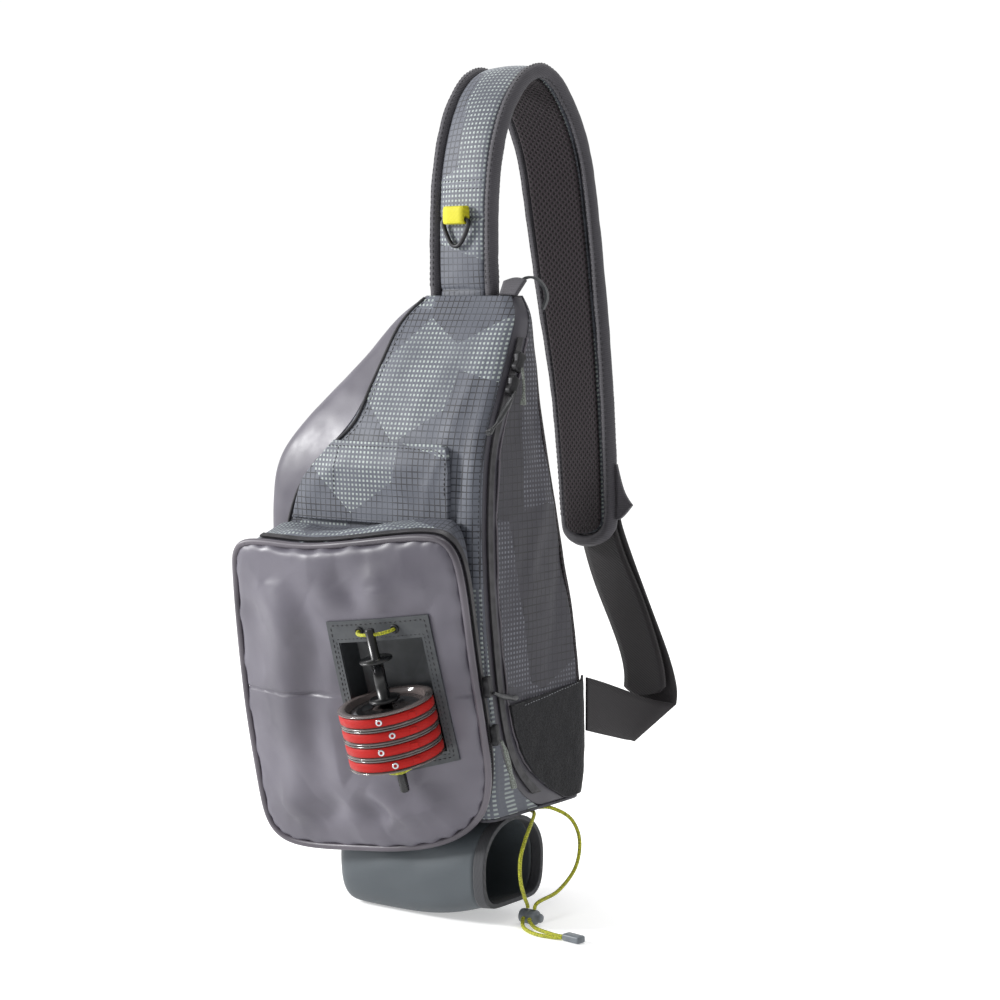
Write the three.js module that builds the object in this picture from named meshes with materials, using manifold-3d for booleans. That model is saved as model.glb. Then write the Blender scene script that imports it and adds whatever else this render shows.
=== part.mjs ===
// A fishing sling bag: a teardrop main compartment, a boxy front pocket with a tippet spool station,
// a bottle sleeve with a cord lock under it, and one padded shoulder strap that arches over to a
// webbing adjuster.
// Millimetres, +Z up. The front faces -Y and the open mouth of the sleeve faces +X.
// The origin is the middle of the flat underside of the bottle sleeve, on which the bag stands.
import * as THREE from "three";
import { mergeVertices } from "three/addons/utils/BufferGeometryUtils.js";
import Module from "manifold-3d";

const wasm = await Module();
wasm.setup();

// Driving dimensions
const gap = 0.3; // between pieces that touch

const sleeveLength = 130;
const sleeveRadius = 36;
const sleeveFlat = 2; // how far its underside is pressed flat
const sleeveWall = 1.6;
const sleeveEndDepth = 20;
const mouthLift = 12;
const mouthDrop = 1.5;
const mouthTaper = 3;
const hemWidth = 8;
const hemStand = 0.6; // how far the hem stands out of the cloth on both sides

const bodyWidth = 176;
const bodyHeight = 331;
const bodyDepth = 122;
const bodyWall = 2.4;
const bottomThickness = 1.8;
const zipCorner = 9;
const softCorner = 15;

const zipTapeWidth = 15;
const zipTapeThickness = 1.2;
const zipChainWidth = 5;
const zipChainThickness = 1.4;
const sliderLength = 13;
const sliderWidth = 9;
const sliderThickness = 4;

const flyPatchThickness = 1.8;
const flyPatchHeight = 79;
const flapThickness = 3.2;
const flapHeight = 42;

const pocketWidth = 176;
const pocketHeight = 208;
const pocketDepth = 25;
const pocketRise = 76; // its middle above the bottom of the main compartment
const pocketShift = -5;
const pocketLean = 11; // degrees
const pocketTurn = 4.5;
const pocketCrown = 11;
const pocketWall = 1.8;
const pocketEdge = 3;
const pipingRadius = 1.7;
const pocketBandWidth = 9;
const pocketChainWidth = 4;

const stationAcross = 34; // from the pocket's middle
const stationUp = 9;
const stationTurn = 5;
const stationRoll = 7.5;
const stationWidth = 75;
const stationHeight = 96;
const stationPeak = 5;
const sheetThickness = 1.2;
const windowWidth = 61;
const windowTop = 34;
const windowBottom = -41.5;
const trayWall = 1.2;
const trayClearance = 0.8;
const trayDent = 8; // how far the tray presses the front panel back

const spoolRadius = 30.8;
const spoolHeight = 9.2;
const spoolPitch = 9.6;
const spoolCount = 4;
const spoolClearance = 0.5;
const barRadius = 4;
const barTipRadius = 3;
const barStandOff = 11;
const barShift = 1; // from the window's middle, across
const barTop = 45;
const barBottom = -63;
const barDiscRadius = 10.5;
const barDiscHeight = 24;
const loopCordRadius = 1.25;
const eyeletAcross = 13;
const eyeletRadius = 3;

const strapWidth = 57;
const strapThickness = 7.5;
const strapRise = 150;
const strapReach = 113;
const strapDrift = 24;
const strapSeat = 12; // how deep it sits between the front and back panels
const strapEnd = 17;
const bindingWidth = 8;
const bindingThickness = 10.4;
const liningThickness = 1.4;

const webbingWidth = 38;
const webbingThickness = 1.6;
const lockBar = 3;
const lockHeight = 26;
const lockWidth = 44.8;

const ringWire = 1.6; // radius
const ringWidth = 26;
const ringHeight = 20;
const tabWidth = 18;
const tabHeight = 12;

const cordRadius = 1.25;
const cordLockLength = 16;
const cordLockRadius = 4.8;

// Colours and finishes
const finish = (color, roughness, metalness = 0) => new THREE.MeshStandardMaterial({ color, roughness,
    metalness });
const ripstop = finish(0x8b8f98, 0.8);
const darkRipstop = finish(0x4c4b55, 0.85);
const satin = finish(0x847e88, 0.55);
const spacerMesh = finish(0x2c2529, 0.95);
const bindingTape = finish(0x55504f, 0.85);
const zipTape = finish(0x5b545b, 0.8);
const zipCoil = finish(0x343036, 0.6);
const loopPile = finish(0x2a2a2d, 1.0);
const coatedSheet = finish(0x55585b, 0.6);
const neonCord = finish(0xd6d22e, 0.6);
const blackPlastic = finish(0x151617, 0.4);
const greyPlastic = finish(0x5b6166, 0.5);
const clearPlastic = finish(0x8d8482, 0.2);
const redBand = finish(0xd8261c, 0.5);
const darkWebbing = finish(0x2b2529, 0.8);
const sleeveCloth = finish(0x5d6468, 0.75);
const greyWebbing = finish(0x6d7274, 0.8);
const darkMetal = finish(0x4a4a48, 0.4, 0.8);
const pullCord = finish(0x6b6b66, 0.8);

// Mesh building

const vec = (x, y, z) => new THREE.Vector3(x, y, z);
const mix = (a, b, share) => a + (b - a) * share;
const clamp = (value, low, high) => Math.min(high, Math.max(low, value));
const degrees = Math.PI / 180;
const steps = (count, from = 0, to = 1) => Array.from({ length: count + 1 }, (_, i) => mix(from, to,
    i / count));

// An indexed geometry from points and triangles, turned so that its faces point out.
function closedBody(points, triangles) {
  let volume = 0;
  for (const [a, b, c] of triangles) volume += points[a].dot(points[b].clone().cross(points[c]));
  const flat = new Float32Array(points.flatMap((p) => [p.x, p.y, p.z]));
  const index = volume < 0 ? triangles.flatMap(([a, b, c]) => [a, c, b]) : triangles.flat();
  const geometry = new THREE.BufferGeometry();
  geometry.setAttribute("position", new THREE.BufferAttribute(flat, 3));
  geometry.setIndex(index);
  geometry.computeVertexNormals();
  return geometry;
}

const middle = (ring) => ring.reduce((sum, p) => sum.add(p), vec(0, 0, 0)).divideScalar(ring.length);

// Rings of equal length joined in order. Each end is closed by a fan, or the last ring joins the first.
function loft(rings, { ring = false, start = null, end = null } = {}) {
  const count = rings[0].length;
  const points = rings.flat();
  const triangles = [];
  const spans = ring ? rings.length : rings.length - 1;
  for (let i = 0; i < spans; i++) {
    const here = i * count;
    const next = ((i + 1) % rings.length) * count;
    for (let j = 0; j < count; j++) {
      const k = (j + 1) % count;
      triangles.push([here + j, here + k, next + k], [here + j, next + k, next + j]);
    }
  }
  if (!ring) {
    const last = (rings.length - 1) * count;
    const first = points.push(start ?? middle(rings[0])) - 1;
    const final = points.push(end ?? middle(rings[rings.length - 1])) - 1;
    for (let j = 0; j < count; j++) {
      const k = (j + 1) % count;
      triangles.push([first, k, j], [final, last + j, last + k]);
    }
  }
  return closedBody(points, triangles);
}

// A sheet with thickness: two equal grids of points, joined round their four edges.
function slab(outer, inner) {
  const rows = outer.length;
  const columns = outer[0].length;
  const points = [...outer.flat(), ...inner.flat()];
  const at = (side, i, j) => side * rows * columns + i * columns + j;
  const triangles = [];
  const quad = (a, b, c, d) => triangles.push([a, b, c], [a, c, d]);
  for (let i = 0; i < rows - 1; i++)
    for (let j = 0; j < columns - 1; j++) {
      quad(at(0, i, j), at(0, i, j + 1), at(0, i + 1, j + 1), at(0, i + 1, j));
      quad(at(1, i, j), at(1, i + 1, j), at(1, i + 1, j + 1), at(1, i, j + 1));
    }
  for (let j = 0; j < columns - 1; j++) {
    quad(at(0, 0, j), at(1, 0, j), at(1, 0, j + 1), at(0, 0, j + 1));
    quad(at(0, rows - 1, j), at(0, rows - 1, j + 1), at(1, rows - 1, j + 1), at(1, rows - 1, j));
  }
  for (let i = 0; i < rows - 1; i++) {
    quad(at(0, i, 0), at(0, i + 1, 0), at(1, i + 1, 0), at(1, i, 0));
    quad(at(0, i, columns - 1), at(1, i, columns - 1), at(1, i + 1, columns - 1), at(0, i + 1,
        columns - 1));
  }
  return closedBody(points, triangles);
}

// A flat strip through pairs of edge points, with thickness.
function ribbon(pairs, thickness) {
  const rings = pairs.map(([a, b], i) => {
    const before = pairs[Math.max(0, i - 1)];
    const after = pairs[Math.min(pairs.length - 1, i + 1)];
    const onward = after[0].clone().add(after[1]).sub(before[0]).sub(before[1]);
    const half = b.clone().sub(a).cross(onward).setLength(thickness / 2);
    return [a.clone().add(half), b.clone().add(half), b.clone().sub(half), a.clone().sub(half)];
  });
  return loft(rings);
}

function roundSection(radius, sides) {
  const turns = Array.from({ length: sides }, (_, i) => (i / sides) * 2 * Math.PI);
  return turns.map((turn) => new THREE.Vector2(radius * Math.cos(turn), radius * Math.sin(turn)));
}

// A round cord along chosen points.
function cord(points, radius, count, sides = 8) {
  const extrudePath = new THREE.CatmullRomCurve3(points);
  const section = new THREE.Shape(roundSection(radius, sides));
  return new THREE.ExtrudeGeometry(section, { extrudePath, steps: count, bevelEnabled: false });
}

// A section swept round a closed loop of points. Its first axis points out of the loop's middle.
function closedSweep(points, section, normal) {
  const centre = middle(points);
  const rings = points.map((point, i) => {
    const onward = points[(i + 1) % points.length].clone().sub(points[(i + points.length - 1) % points.length]);
    const out = onward.cross(normal).normalize();
    if (out.dot(point.clone().sub(centre)) < 0) out.negate();
    return section.map(({ x, y }) => point.clone().addScaledVector(out, x).addScaledVector(normal, y));
  });
  return loft(rings, { ring: true });
}

function roundedRectangle(width, height, radius, perCorner = 3) {
  const corners = [[1, 1, 0], [-1, 1, 90], [-1, -1, 180], [1, -1, 270]];
  return corners.flatMap(([sx, sy, from]) =>
    steps(perCorner - 1, from, from + 90).map((turn) =>
      new THREE.Vector2(
        sx * (width / 2 - radius) + radius * Math.cos(turn * degrees),
        sy * (height / 2 - radius) + radius * Math.sin(turn * degrees),
      )));
}

function solidOf(geometry) {
  const bare = new THREE.BufferGeometry();
  bare.setAttribute("position",
      (geometry.index ? geometry.toNonIndexed() : geometry).getAttribute("position"));
  const merged = mergeVertices(bare, 1e-4);
  const triVerts = new Uint32Array(merged.index.array);
  return new wasm.Manifold(new wasm.Mesh({ numProp: 3,
      vertProperties: merged.attributes.position.array, triVerts }));
}

// The first geometry with the others cut out of it.
function cut(geometry, ...tools) {
  const made = tools.reduce((solid, tool) => solid.subtract(solidOf(tool)), solidOf(geometry)).getMesh();
  const left = new THREE.BufferGeometry();
  left.setAttribute("position", new THREE.BufferAttribute(new Float32Array(made.vertProperties), 3));
  left.setIndex(Array.from(made.triVerts));
  left.computeVertexNormals();
  return left;
}

const bag = new THREE.Group();

function add(name, geometry, material, parent = bag) {
  const piece = new THREE.Mesh(geometry, material);
  piece.name = name;
  parent.add(piece);
}

// A group whose own axes lie along the given directions.
function turnedGroup(place, right, up, out) {
  const group = new THREE.Group();
  group.quaternion.setFromRotationMatrix(new THREE.Matrix4().makeBasis(right, up, out));
  group.position.copy(place);
  group.updateMatrix();
  bag.add(group);
  return group;
}

// A value read along a table by a smooth curve through its rows.
function along(rows, key, column, position) {
  const last = rows.length - 1;
  let i = 0;
  while (i < last - 1 && position > rows[i + 1][key]) i++;
  const [a, b] = [rows[i], rows[i + 1]];
  const before = rows[Math.max(0, i - 1)];
  const after = rows[Math.min(last, i + 2)];
  const span = b[key] - a[key];
  const t = clamp((position - a[key]) / span, 0, 1);
  const slopeA = ((b[column] - before[column]) / (b[key] - before[key])) * span;
  const slopeB = ((after[column] - a[column]) / (after[key] - a[key])) * span;
  const [t2, t3] = [t * t, t * t * t];
  const fromA = (2 * t3 - 3 * t2 + 1) * a[column] + (t3 - 2 * t2 + t) * slopeA;
  return fromA + (3 * t2 - 2 * t3) * b[column] + (t3 - t2) * slopeB;
}

// Bottle sleeve
const sleeveHeight = 2 * sleeveRadius - sleeveFlat;
const sleeveClosed = -0.44 * sleeveLength;
const sleeveMouth = sleeveClosed + sleeveLength;
const flatPower = 3.6; // of the curve that rounds the underside into the sides

const liftStart = 0.62; // the underside rises from this share of the length to the mouth
function sleeveSection(x) {
  const share = clamp(((x - sleeveClosed) / sleeveLength - liftStart) / (1 - liftStart), 0, 1);
  const ease = share * share * (3 - 2 * share);
  const lift = mouthLift * ease;
  const tall = (sleeveHeight - mouthDrop * ease - lift + sleeveFlat) / 2;
  return { wide: sleeveRadius - mouthTaper * ease, tall, centre: lift + tall - sleeveFlat };
}

function sleeveRing(x, inset, pinch = 1) {
  const { wide, tall, centre } = sleeveSection(x);
  const sides = 24;
  return Array.from({ length: sides }, (_, i) => {
    const turn = (i / sides) * 2 * Math.PI;
    const power = Math.sin(turn) < -1e-6 ? 2 / flatPower : 1;
    const across = Math.sign(Math.cos(turn)) * Math.abs(Math.cos(turn)) ** power;
    const rise = Math.sign(Math.sin(turn)) * Math.abs(Math.sin(turn)) ** power;
    const z = Math.max((tall - inset) * rise, -(tall - sleeveFlat - inset));
    return vec(x, (wide - inset) * across * pinch, centre + z * pinch);
  });
}

function buildSleeve() {
  const rounding = [0.98, 0.85, 0.6, 0.3]; // shares of the end's depth
  const clothMouth = sleeveMouth - hemWidth - gap;
  const runs = steps(4, sleeveClosed + sleeveEndDepth, clothMouth);
  const end = (inset) => rounding.map((share) =>
    sleeveRing(sleeveClosed + inset + (sleeveEndDepth - inset) * (1 - share), inset,
        Math.sqrt(1 - share * share)));
  const outer = [...end(0), ...runs.map((x) => sleeveRing(x, 0))];
  const inner = [...runs.map((x) => sleeveRing(x, sleeveWall)).reverse(), ...end(sleeveWall).reverse()];
  const { centre } = sleeveSection(sleeveClosed);
  const poles = { start: vec(sleeveClosed, 0, centre), end: vec(sleeveClosed + sleeveWall, 0, centre) };
  add("bottle_sleeve", loft([...outer, ...inner], poles), sleeveCloth);

  const hem = [sleeveMouth - hemWidth, sleeveMouth];
  const hemOuter = hem.map((x) => sleeveRing(x, -hemStand));
  const hemInner = hem.map((x) => sleeveRing(x, sleeveWall + hemStand)).reverse();
  add("sleeve_binding", loft([...hemOuter, ...hemInner], { ring: true }), bindingTape);
}

// Main compartment
// Each row is one level section: left and right are shares of half the width, front, back and crown of
// the depth.
const bodyRows = [
  { up: 0.0, left: -0.78, right: 0.895, front: -0.28, back: 0.615, crown: 0 },
  { up: 0.03, left: -0.88, right: 0.905, front: -0.29, back: 0.63, crown: 0 },
  { up: 0.08, left: -0.97, right: 0.91, front: -0.3, back: 0.635, crown: 0 },
  { up: 0.18, left: -1.04, right: 0.91, front: -0.31, back: 0.632, crown: 0 },
  { up: 0.29, left: -1.08, right: 0.91, front: -0.335, back: 0.6, crown: 0 },
  { up: 0.4, left: -1.1, right: 0.91, front: -0.375, back: 0.533, crown: 0 },
  { up: 0.5, left: -1.1, right: 0.9, front: -0.393, back: 0.455, crown: 0.005 },
  { up: 0.6, left: -1.11, right: 0.9, front: -0.39, back: 0.387, crown: 0.02 },
  { up: 0.67, left: -1.09, right: 0.895, front: -0.37, back: 0.34, crown: 0.035 },
  { up: 0.72, left: -0.99, right: 0.89, front: -0.345, back: 0.31, crown: 0.04 },
  { up: 0.76, left: -0.86, right: 0.885, front: -0.3, back: 0.285, crown: 0.04 },
  { up: 0.8, left: -0.74, right: 0.88, front: -0.24, back: 0.265, crown: 0.04 },
  { up: 0.84, left: -0.61, right: 0.875, front: -0.175, back: 0.25, crown: 0.035 },
  { up: 0.88, left: -0.48, right: 0.87, front: -0.12, back: 0.235, crown: 0.03 },
  { up: 0.92, left: -0.4, right: 0.86, front: -0.065, back: 0.225, crown: 0.02 },
  { up: 0.96, left: -0.31, right: 0.84, front: 0.01, back: 0.218, crown: 0.01 },
  { up: 1.0, left: -0.1, right: 0.72, front: 0.076, back: 0.231, crown: 0 },
];
const bodyLevels = [0, 0.03, 0.08, 0.15, 0.24, 0.34, 0.45, 0.56, 0.64, 0.7, 0.76, 0.84, 0.92, 0.965, 1];
const bodyBottom = sleeveHeight + bottomThickness + 2 * gap;
const bodyTop = bodyBottom + bodyHeight;

function bodySection(up) {
  const half = bodyWidth / 2;
  const read = (column) => along(bodyRows, "up", column, up);
  const [left, right] = [read("left") * half, read("right") * half];
  const [front, back] = [read("front") * bodyDepth, read("back") * bodyDepth];
  const limit = 0.42 * (back - front);
  const radii = [softCorner, zipCorner, softCorner, softCorner].map((radius) => Math.min(radius, limit));
  return { left, right, front, back, radii, crown: read("crown") * bodyDepth };
}

// How far the front stands out at a place: its crown, less the hidden dent behind the spool tray.
const dentAcross = pocketShift + stationAcross;
const dentHeight = bodyBottom + pocketRise + stationUp - 8;
const dentHalfWidth = windowWidth / 2 + 14;
const dentHalfHeight = (windowTop - windowBottom) / 2 + 25;

function frontSwell(x, up) {
  const { left, right, crown } = bodySection(up);
  const q = clamp((2 * x - left - right) / (right - left), -1, 1);
  const a = clamp((x - dentAcross) / dentHalfWidth, -1, 1);
  const b = clamp((bodyBottom + up * bodyHeight - dentHeight) / dentHalfHeight, -1, 1);
  return crown * (1 - q * q) - trayDent * (1 - a ** 4) * (1 - b ** 4);
}

// A point of the outer surface. Side 0 to 1 runs along the front to the right, 1 to 2 down the right
// side,
// 2 to 3 along the back to the left and 3 to 4 along the left side to the front.
function bodyPoint(side, up) {
  const { left, right, front, back, radii } = bodySection(up);
  const turns = ((side % 4) + 4) % 4;
  const edge = Math.floor(turns);
  const share = turns - edge;
  const corners = [[left, front], [right, front], [right, back], [left, back]];
  const [x0, y0] = corners[edge];
  const [x1, y1] = corners[(edge + 1) % 4];
  const length = Math.hypot(x1 - x0, y1 - y0);
  const [dx, dy] = [(x1 - x0) / length, (y1 - y0) / length];
  const radius = radii[share < 0.5 ? edge : (edge + 1) % 4];
  const near = Math.min(share, 1 - share) * length;
  let forward = share * length;
  let rise = 0;
  if (near < radius) {
    const turn = (1 - near / radius) * 45 * degrees;
    const reach = radius * (1 - Math.sin(turn));
    forward = share < 0.5 ? reach : length - reach;
    rise = radius * (1 - Math.cos(turn));
  }
  const x = x0 + dx * forward - dy * rise;
  const y = y0 + dy * forward + dx * rise;
  const frontShare = clamp((back - y) / (back - front), 0, 1);
  return vec(x, y - frontSwell(x, up) * frontShare, bodyBottom + up * bodyHeight);
}

// The front surface's Y straight behind a place
function bodyFront(x, z) {
  const up = clamp((z - bodyBottom) / bodyHeight, 0, 1);
  const { left, right, front, radii } = bodySection(up);
  const over = (distance, radius) => radius - Math.sqrt(radius ** 2 - clamp(distance, 0, radius) ** 2);
  const rounding = over(left + radii[0] - x, radii[0]) + over(x - right + radii[1], radii[1]);
  return front + rounding - frontSwell(x, up);
}

function bodyNormal(side, up) {
  const step = 0.004;
  const across = bodyPoint(side + step, up).sub(bodyPoint(side - step, up));
  const rise = bodyPoint(side, Math.min(1, up + step)).sub(bodyPoint(side, Math.max(0, up - step)));
  return across.cross(rise).normalize();
}

function sideLength(side, up) {
  const { left, right, front, back } = bodySection(up);
  return Math.floor(((side % 4) + 4) % 4) % 2 === 0 ? right - left : back - front;
}

// A side position moved by a distance in millimetres along the surface.
const moved = (side, distance, up) => side + distance / sideLength(side, up);

// Side positions from one seam to another, closer together round each corner between them.
function sideStops(from, to, up, columns) {
  const stops = [from];
  for (let corner = Math.ceil(from + 0.001); corner < to; corner++) {
    const radius = bodySection(up).radii[corner % 4];
    const last = stops[stops.length - 1];
    const before = Math.min(radius / sideLength(corner - 0.5, up), 0.7 * (corner - last));
    const after = Math.min(radius / sideLength(corner + 0.5, up), 0.7 * (to - corner));
    const span = steps(columns, last, corner - before).slice(1);
    stops.push(...span, corner - before / 2, corner, corner + after / 2, corner + after);
  }
  stops.push(...steps(columns, stops[stops.length - 1], to).slice(1));
  return stops;
}

// A sheet of cloth on the surface. Each row is a list of places, each a side and a height.
function bodySheet(rows, lift, thickness) {
  const raised = (by) => rows.map((row) =>
    row.map(({ side, up }) => bodyPoint(side, up).addScaledVector(bodyNormal(side, up), by)));
  return slab(raised(lift), raised(lift - thickness));
}

// The seam between the satin left panel and the patterned front, as a share of the front's width
const seamRows = [
  { up: 0.0, side: 0.1 },
  { up: 0.5, side: 0.11 },
  { up: 0.6, side: 0.14 },
  { up: 0.66, side: 0.23 },
  { up: 0.72, side: 0.31 },
  { up: 0.78, side: 0.34 },
  { up: 0.81, side: 0.31 },
  { up: 0.84, side: 0.25 },
  { up: 0.88, side: 0.195 },
  { up: 0.92, side: 0.16 },
  { up: 1.0, side: 0.06 },
];
const seamSide = (up) => along(seamRows, "up", "side", up);

// The main zip follows the front right corner, then turns back under the bag. Behind is a share of the
// depth.
const zipRows = [
  { up: 0.0, behind: 0.56 },
  { up: 0.02, behind: 0.46 },
  { up: 0.05, behind: 0.33 },
  { up: 0.1, behind: 0.21 },
  { up: 0.18, behind: 0.13 },
  { up: 0.3, behind: 0.1 },
  { up: 0.5, behind: 0.1 },
  { up: 0.7, behind: 0.095 },
  { up: 0.9, behind: 0.085 },
  { up: 1.0, behind: 0.06 },
];
const zipSide = (up) => 1 + (along(zipRows, "up", "behind", up) * bodyDepth) / sideLength(1.5, up);

// How much wider a strip along the zip is when measured level, because the zip slants
function zipSlant(up) {
  const step = 0.01;
  const [low, high] = [Math.max(0, up - step), Math.min(1, up + step)];
  const run = bodyPoint(zipSide(high), high).sub(bodyPoint(zipSide(low), low));
  return Math.min(2, Math.hypot(run.y, run.z) / run.z);
}

// Half the width of the zip's opening, measured level. It narrows where the side does.
const zipHalf = (width, up) => Math.min((width / 2) * zipSlant(up),
    (width / zipTapeWidth) * 0.3 * sideLength(1.5, up));

function zipStrip(width, levels, lift, thickness) {
  const rows = levels.map((up) => steps(3, -1, 1).map((share) =>
    ({ side: moved(zipSide(up), share * zipHalf(width, up), up), up })));
  return bodySheet(rows, lift, thickness);
}

const rearSeam = 12; // on the sides, in front of the back corners
const tapeLift = -0.4; // the tape lies just below the cloth's face
const chainLift = tapeLift + gap + zipChainThickness;

function buildBody() {
  const panel = (from, to, columns) =>
    bodySheet(bodyLevels.map((up) => sideStops(from(up), to(up), up, columns).map((side) => ({ side,
        up }))), 0, bodyWall);
  const seamIn = (up) => Math.min(rearSeam, 0.2 * sideLength(1.5, up));
  const rightSeam = (up) => moved(1.999, -seamIn(up), up);
  const leftSeam = (up) => moved(3.001, seamIn(up), up);
  const apart = (side, sign, up) => moved(side, (sign * gap) / 2, up);
  const zipEdge = (sign, up) => Math.max(1.003, moved(zipSide(up), sign * (zipHalf(zipTapeWidth,
      up) + gap), up));
  add("front_panel", panel((up) => apart(seamSide(up), 1, up), (up) => zipEdge(-1, up), 5), ripstop);
  add("right_gusset", panel((up) => zipEdge(1, up), (up) => apart(rightSeam(up), -1, up), 4),
      darkRipstop);
  add("back_panel", panel((up) => apart(rightSeam(up), 1, up), (up) => apart(leftSeam(up), -1, up),
      2), spacerMesh);
  add("left_panel", panel((up) => apart(leftSeam(up), 1, up), (up) => apart(seamSide(up) + 4, -1, up),
      2), satin);

  const outline = sideStops(0.1, 4.1, 0, 3).slice(1).map((side) => bodyPoint(side, 0));
  const level = (z) => outline.map((p) => vec(p.x, p.y, z));
  add("bottom_panel", loft([level(bodyBottom - gap - bottomThickness), level(bodyBottom - gap)]),
      darkRipstop);
}

function buildMainZip() {
  add("main_zip_tape", zipStrip(zipTapeWidth, bodyLevels, tapeLift, zipTapeThickness), zipTape);
  add("main_zip_chain", zipStrip(zipChainWidth, bodyLevels.slice(1, -2), chainLift,
      zipChainThickness), zipCoil);
}

// The loop-pile patch fills the lower right side behind the zip, up to a seam that rises to the rear.
function buildFlyPatch() {
  const edge = gap / 2;
  const top = flyPatchHeight / bodyHeight;
  const levels = [0.004, 0.03, 0.08, 0.15, 1];
  const rows = levels.map((level) => {
    const startUp = Math.min(level, 0.9 * top);
    const from = moved(zipSide(startUp), zipHalf(zipTapeWidth, startUp) + gap + edge, startUp);
    return steps(6).map((across) => {
      const up = Math.min(level, mix(0.9, 1, across) * top);
      const round = bodySection(up).radii[2] / sideLength(1.5, up);
      const side = across < 0.6 ? mix(from, 2 - round,
          across / 0.6) : 2 - round * (1 - (across - 0.6) / 0.401);
      return { side, up };
    });
  });
  add("fly_patch", bodySheet(rows, 2 * gap + flyPatchThickness, flyPatchThickness), loopPile);
}

// The raised flap of the upper front, from the left seam to its own right edge
const flapBottom = 0.59; // height share just above the front pocket
function buildUpperFlap() {
  const flapRight = 0.885;
  const rows = steps(5).map((level) => steps(7).map((across) => {
    const up = flapBottom + (flapHeight / bodyHeight) * level;
    return { side: mix(moved(seamSide(up), 2, up), flapRight - 0.03 * level ** 4, across), up };
  }));
  add("upper_flap", bodySheet(rows, gap + flapThickness, flapThickness), ripstop);
}

// Front pocket
const pocketOut = vec(
  Math.sin(pocketTurn * degrees) * Math.cos(pocketLean * degrees),
  -Math.cos(pocketTurn * degrees) * Math.cos(pocketLean * degrees),
  -Math.sin(pocketLean * degrees),
);
const pocketRight = vec(Math.cos(pocketTurn * degrees), Math.sin(pocketTurn * degrees), 0);
const pocketUp = pocketOut.clone().cross(pocketRight);
const pocketMiddle = vec(pocketShift, 0, bodyBottom + pocketRise);
pocketMiddle.y = bodySection(pocketRise / bodyHeight).front - pocketDepth;

const pocketAt = (s, t, depth) => pocketMiddle.clone()
  .addScaledVector(pocketRight, s).addScaledVector(pocketUp, t).addScaledVector(pocketOut, -depth);

// The face's outline, clockwise from its upper left, as shares of half the width and half the height
const pocketOutline = [
  { across: -0.97, up: 0.74 },
  { across: -0.94, up: 0.86 },
  { across: -0.86, up: 0.915 },
  { across: -0.69, up: 0.925 },
  { across: -0.34, up: 0.91 },
  { across: 0.0, up: 0.94 },
  { across: 0.48, up: 1.0 },
  { across: 0.74, up: 1.02 },
  { across: 0.87, up: 1.0 },
  { across: 0.945, up: 0.91 },
  { across: 0.975, up: 0.74 },
  { across: 0.985, up: 0.42 },
  { across: 1.0, up: 0.08 },
  { across: 1.03, up: -0.33 },
  { across: 1.01, up: -0.52 },
  { across: 0.93, up: -0.69 },
  { across: 0.73, up: -0.84 },
  { across: 0.48, up: -0.93 },
  { across: 0.17, up: -0.99 },
  { across: -0.32, up: -1.03 },
  { across: -0.7, up: -1.05 },
  { across: -0.89, up: -1.0 },
  { across: -0.975, up: -0.88 },
  { across: -1.0, up: -0.6 },
  { across: -1.02, up: -0.17 },
  { across: -1.005, up: 0.28 },
];
const outlineCurve = new THREE.CatmullRomCurve3(
  pocketOutline.map(({ across, up }) => vec((across * pocketWidth) / 2, (up * pocketHeight) / 2, 0)),
      true);
const outlineSamples = 40;
const outlineAt = (i) => outlineCurve.getPoint((i / outlineSamples) % 1);

function faceHeight(s, t) {
  const a = clamp((2 * s) / pocketWidth, -1, 1);
  const b = clamp((2 * t) / pocketHeight, -1, 1);
  return pocketCrown * (1 - a * a) * (1 - b ** 4);
}

// How deep the pocket is at a place of its back rim, where it meets the bag or the sleeve
function rimDepth(s, t) {
  let depth = pocketDepth;
  for (let round = 0; round < 8; round++) {
    const { x, y, z } = pocketAt(s, t, depth);
    const behind = z > bodyBottom + hemWidth ? bodyFront(x, z) : Math.min(bodyFront(x, z),
        -sleeveRadius - gap);
    depth += (behind - rimGap - y) / -pocketOut.y;
  }
  return depth;
}

const rimTaper = 0.93;
const rimGap = 1.3; // the rim's corners come nearer than this to the faceted panels
const rimRise = 1.07;
const gussetBulge = 0.016;

// A point of the pocket's outside wall: share 0 is at the face's edge and 1 at the back rim
function gussetPoint(i, share, inset = 0) {
  const edge = outlineAt(i);
  const taper = mix(1, rimTaper,
      share) * (1 + gussetBulge * Math.sin(Math.PI * share)) - (2 * inset) / pocketWidth;
  const rise = edge.y > 0 ? mix(1, rimRise, share) : 1;
  const rimS = edge.x * (rimTaper - (2 * inset) / pocketWidth);
  const rimT = edge.y * ((edge.y > 0 ? rimRise : 1) - (2 * inset) / pocketHeight);
  const depth = mix(pocketEdge, rimDepth(rimS, rimT), share);
  return pocketAt(edge.x * taper, edge.y * (rise - (2 * inset) / pocketHeight), depth);
}

function gussetNormal(i, share) {
  const onward = gussetPoint(i + 0.5, share).sub(gussetPoint(i - 0.5 + outlineSamples, share));
  const inward = gussetPoint(i, Math.min(1, share + 0.05)).sub(gussetPoint(i, Math.max(0, share - 0.05)));
  return onward.cross(inward).normalize();
}

// Rings of the face from its edge to its middle
const faceRows = [
  { scale: 0.99, depth: 0.3 },
  { scale: 0.966, depth: 0 },
  { scale: 0.84, depth: 0 },
  { scale: 0.66, depth: 0 },
  { scale: 0.46, depth: 0 },
  { scale: 0.24, depth: 0 },
];

function faceRing({ scale, depth }, inset) {
  return steps(outlineSamples - 1, 0, outlineSamples - 1).map((i) => {
    const edge = outlineAt(i);
    const s = edge.x * (scale - (2 * inset) / pocketWidth);
    const t = edge.y * (scale - (2 * inset) / pocketHeight);
    return pocketAt(s, t, depth * pocketEdge + inset - faceHeight(s, t));
  });
}

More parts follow.
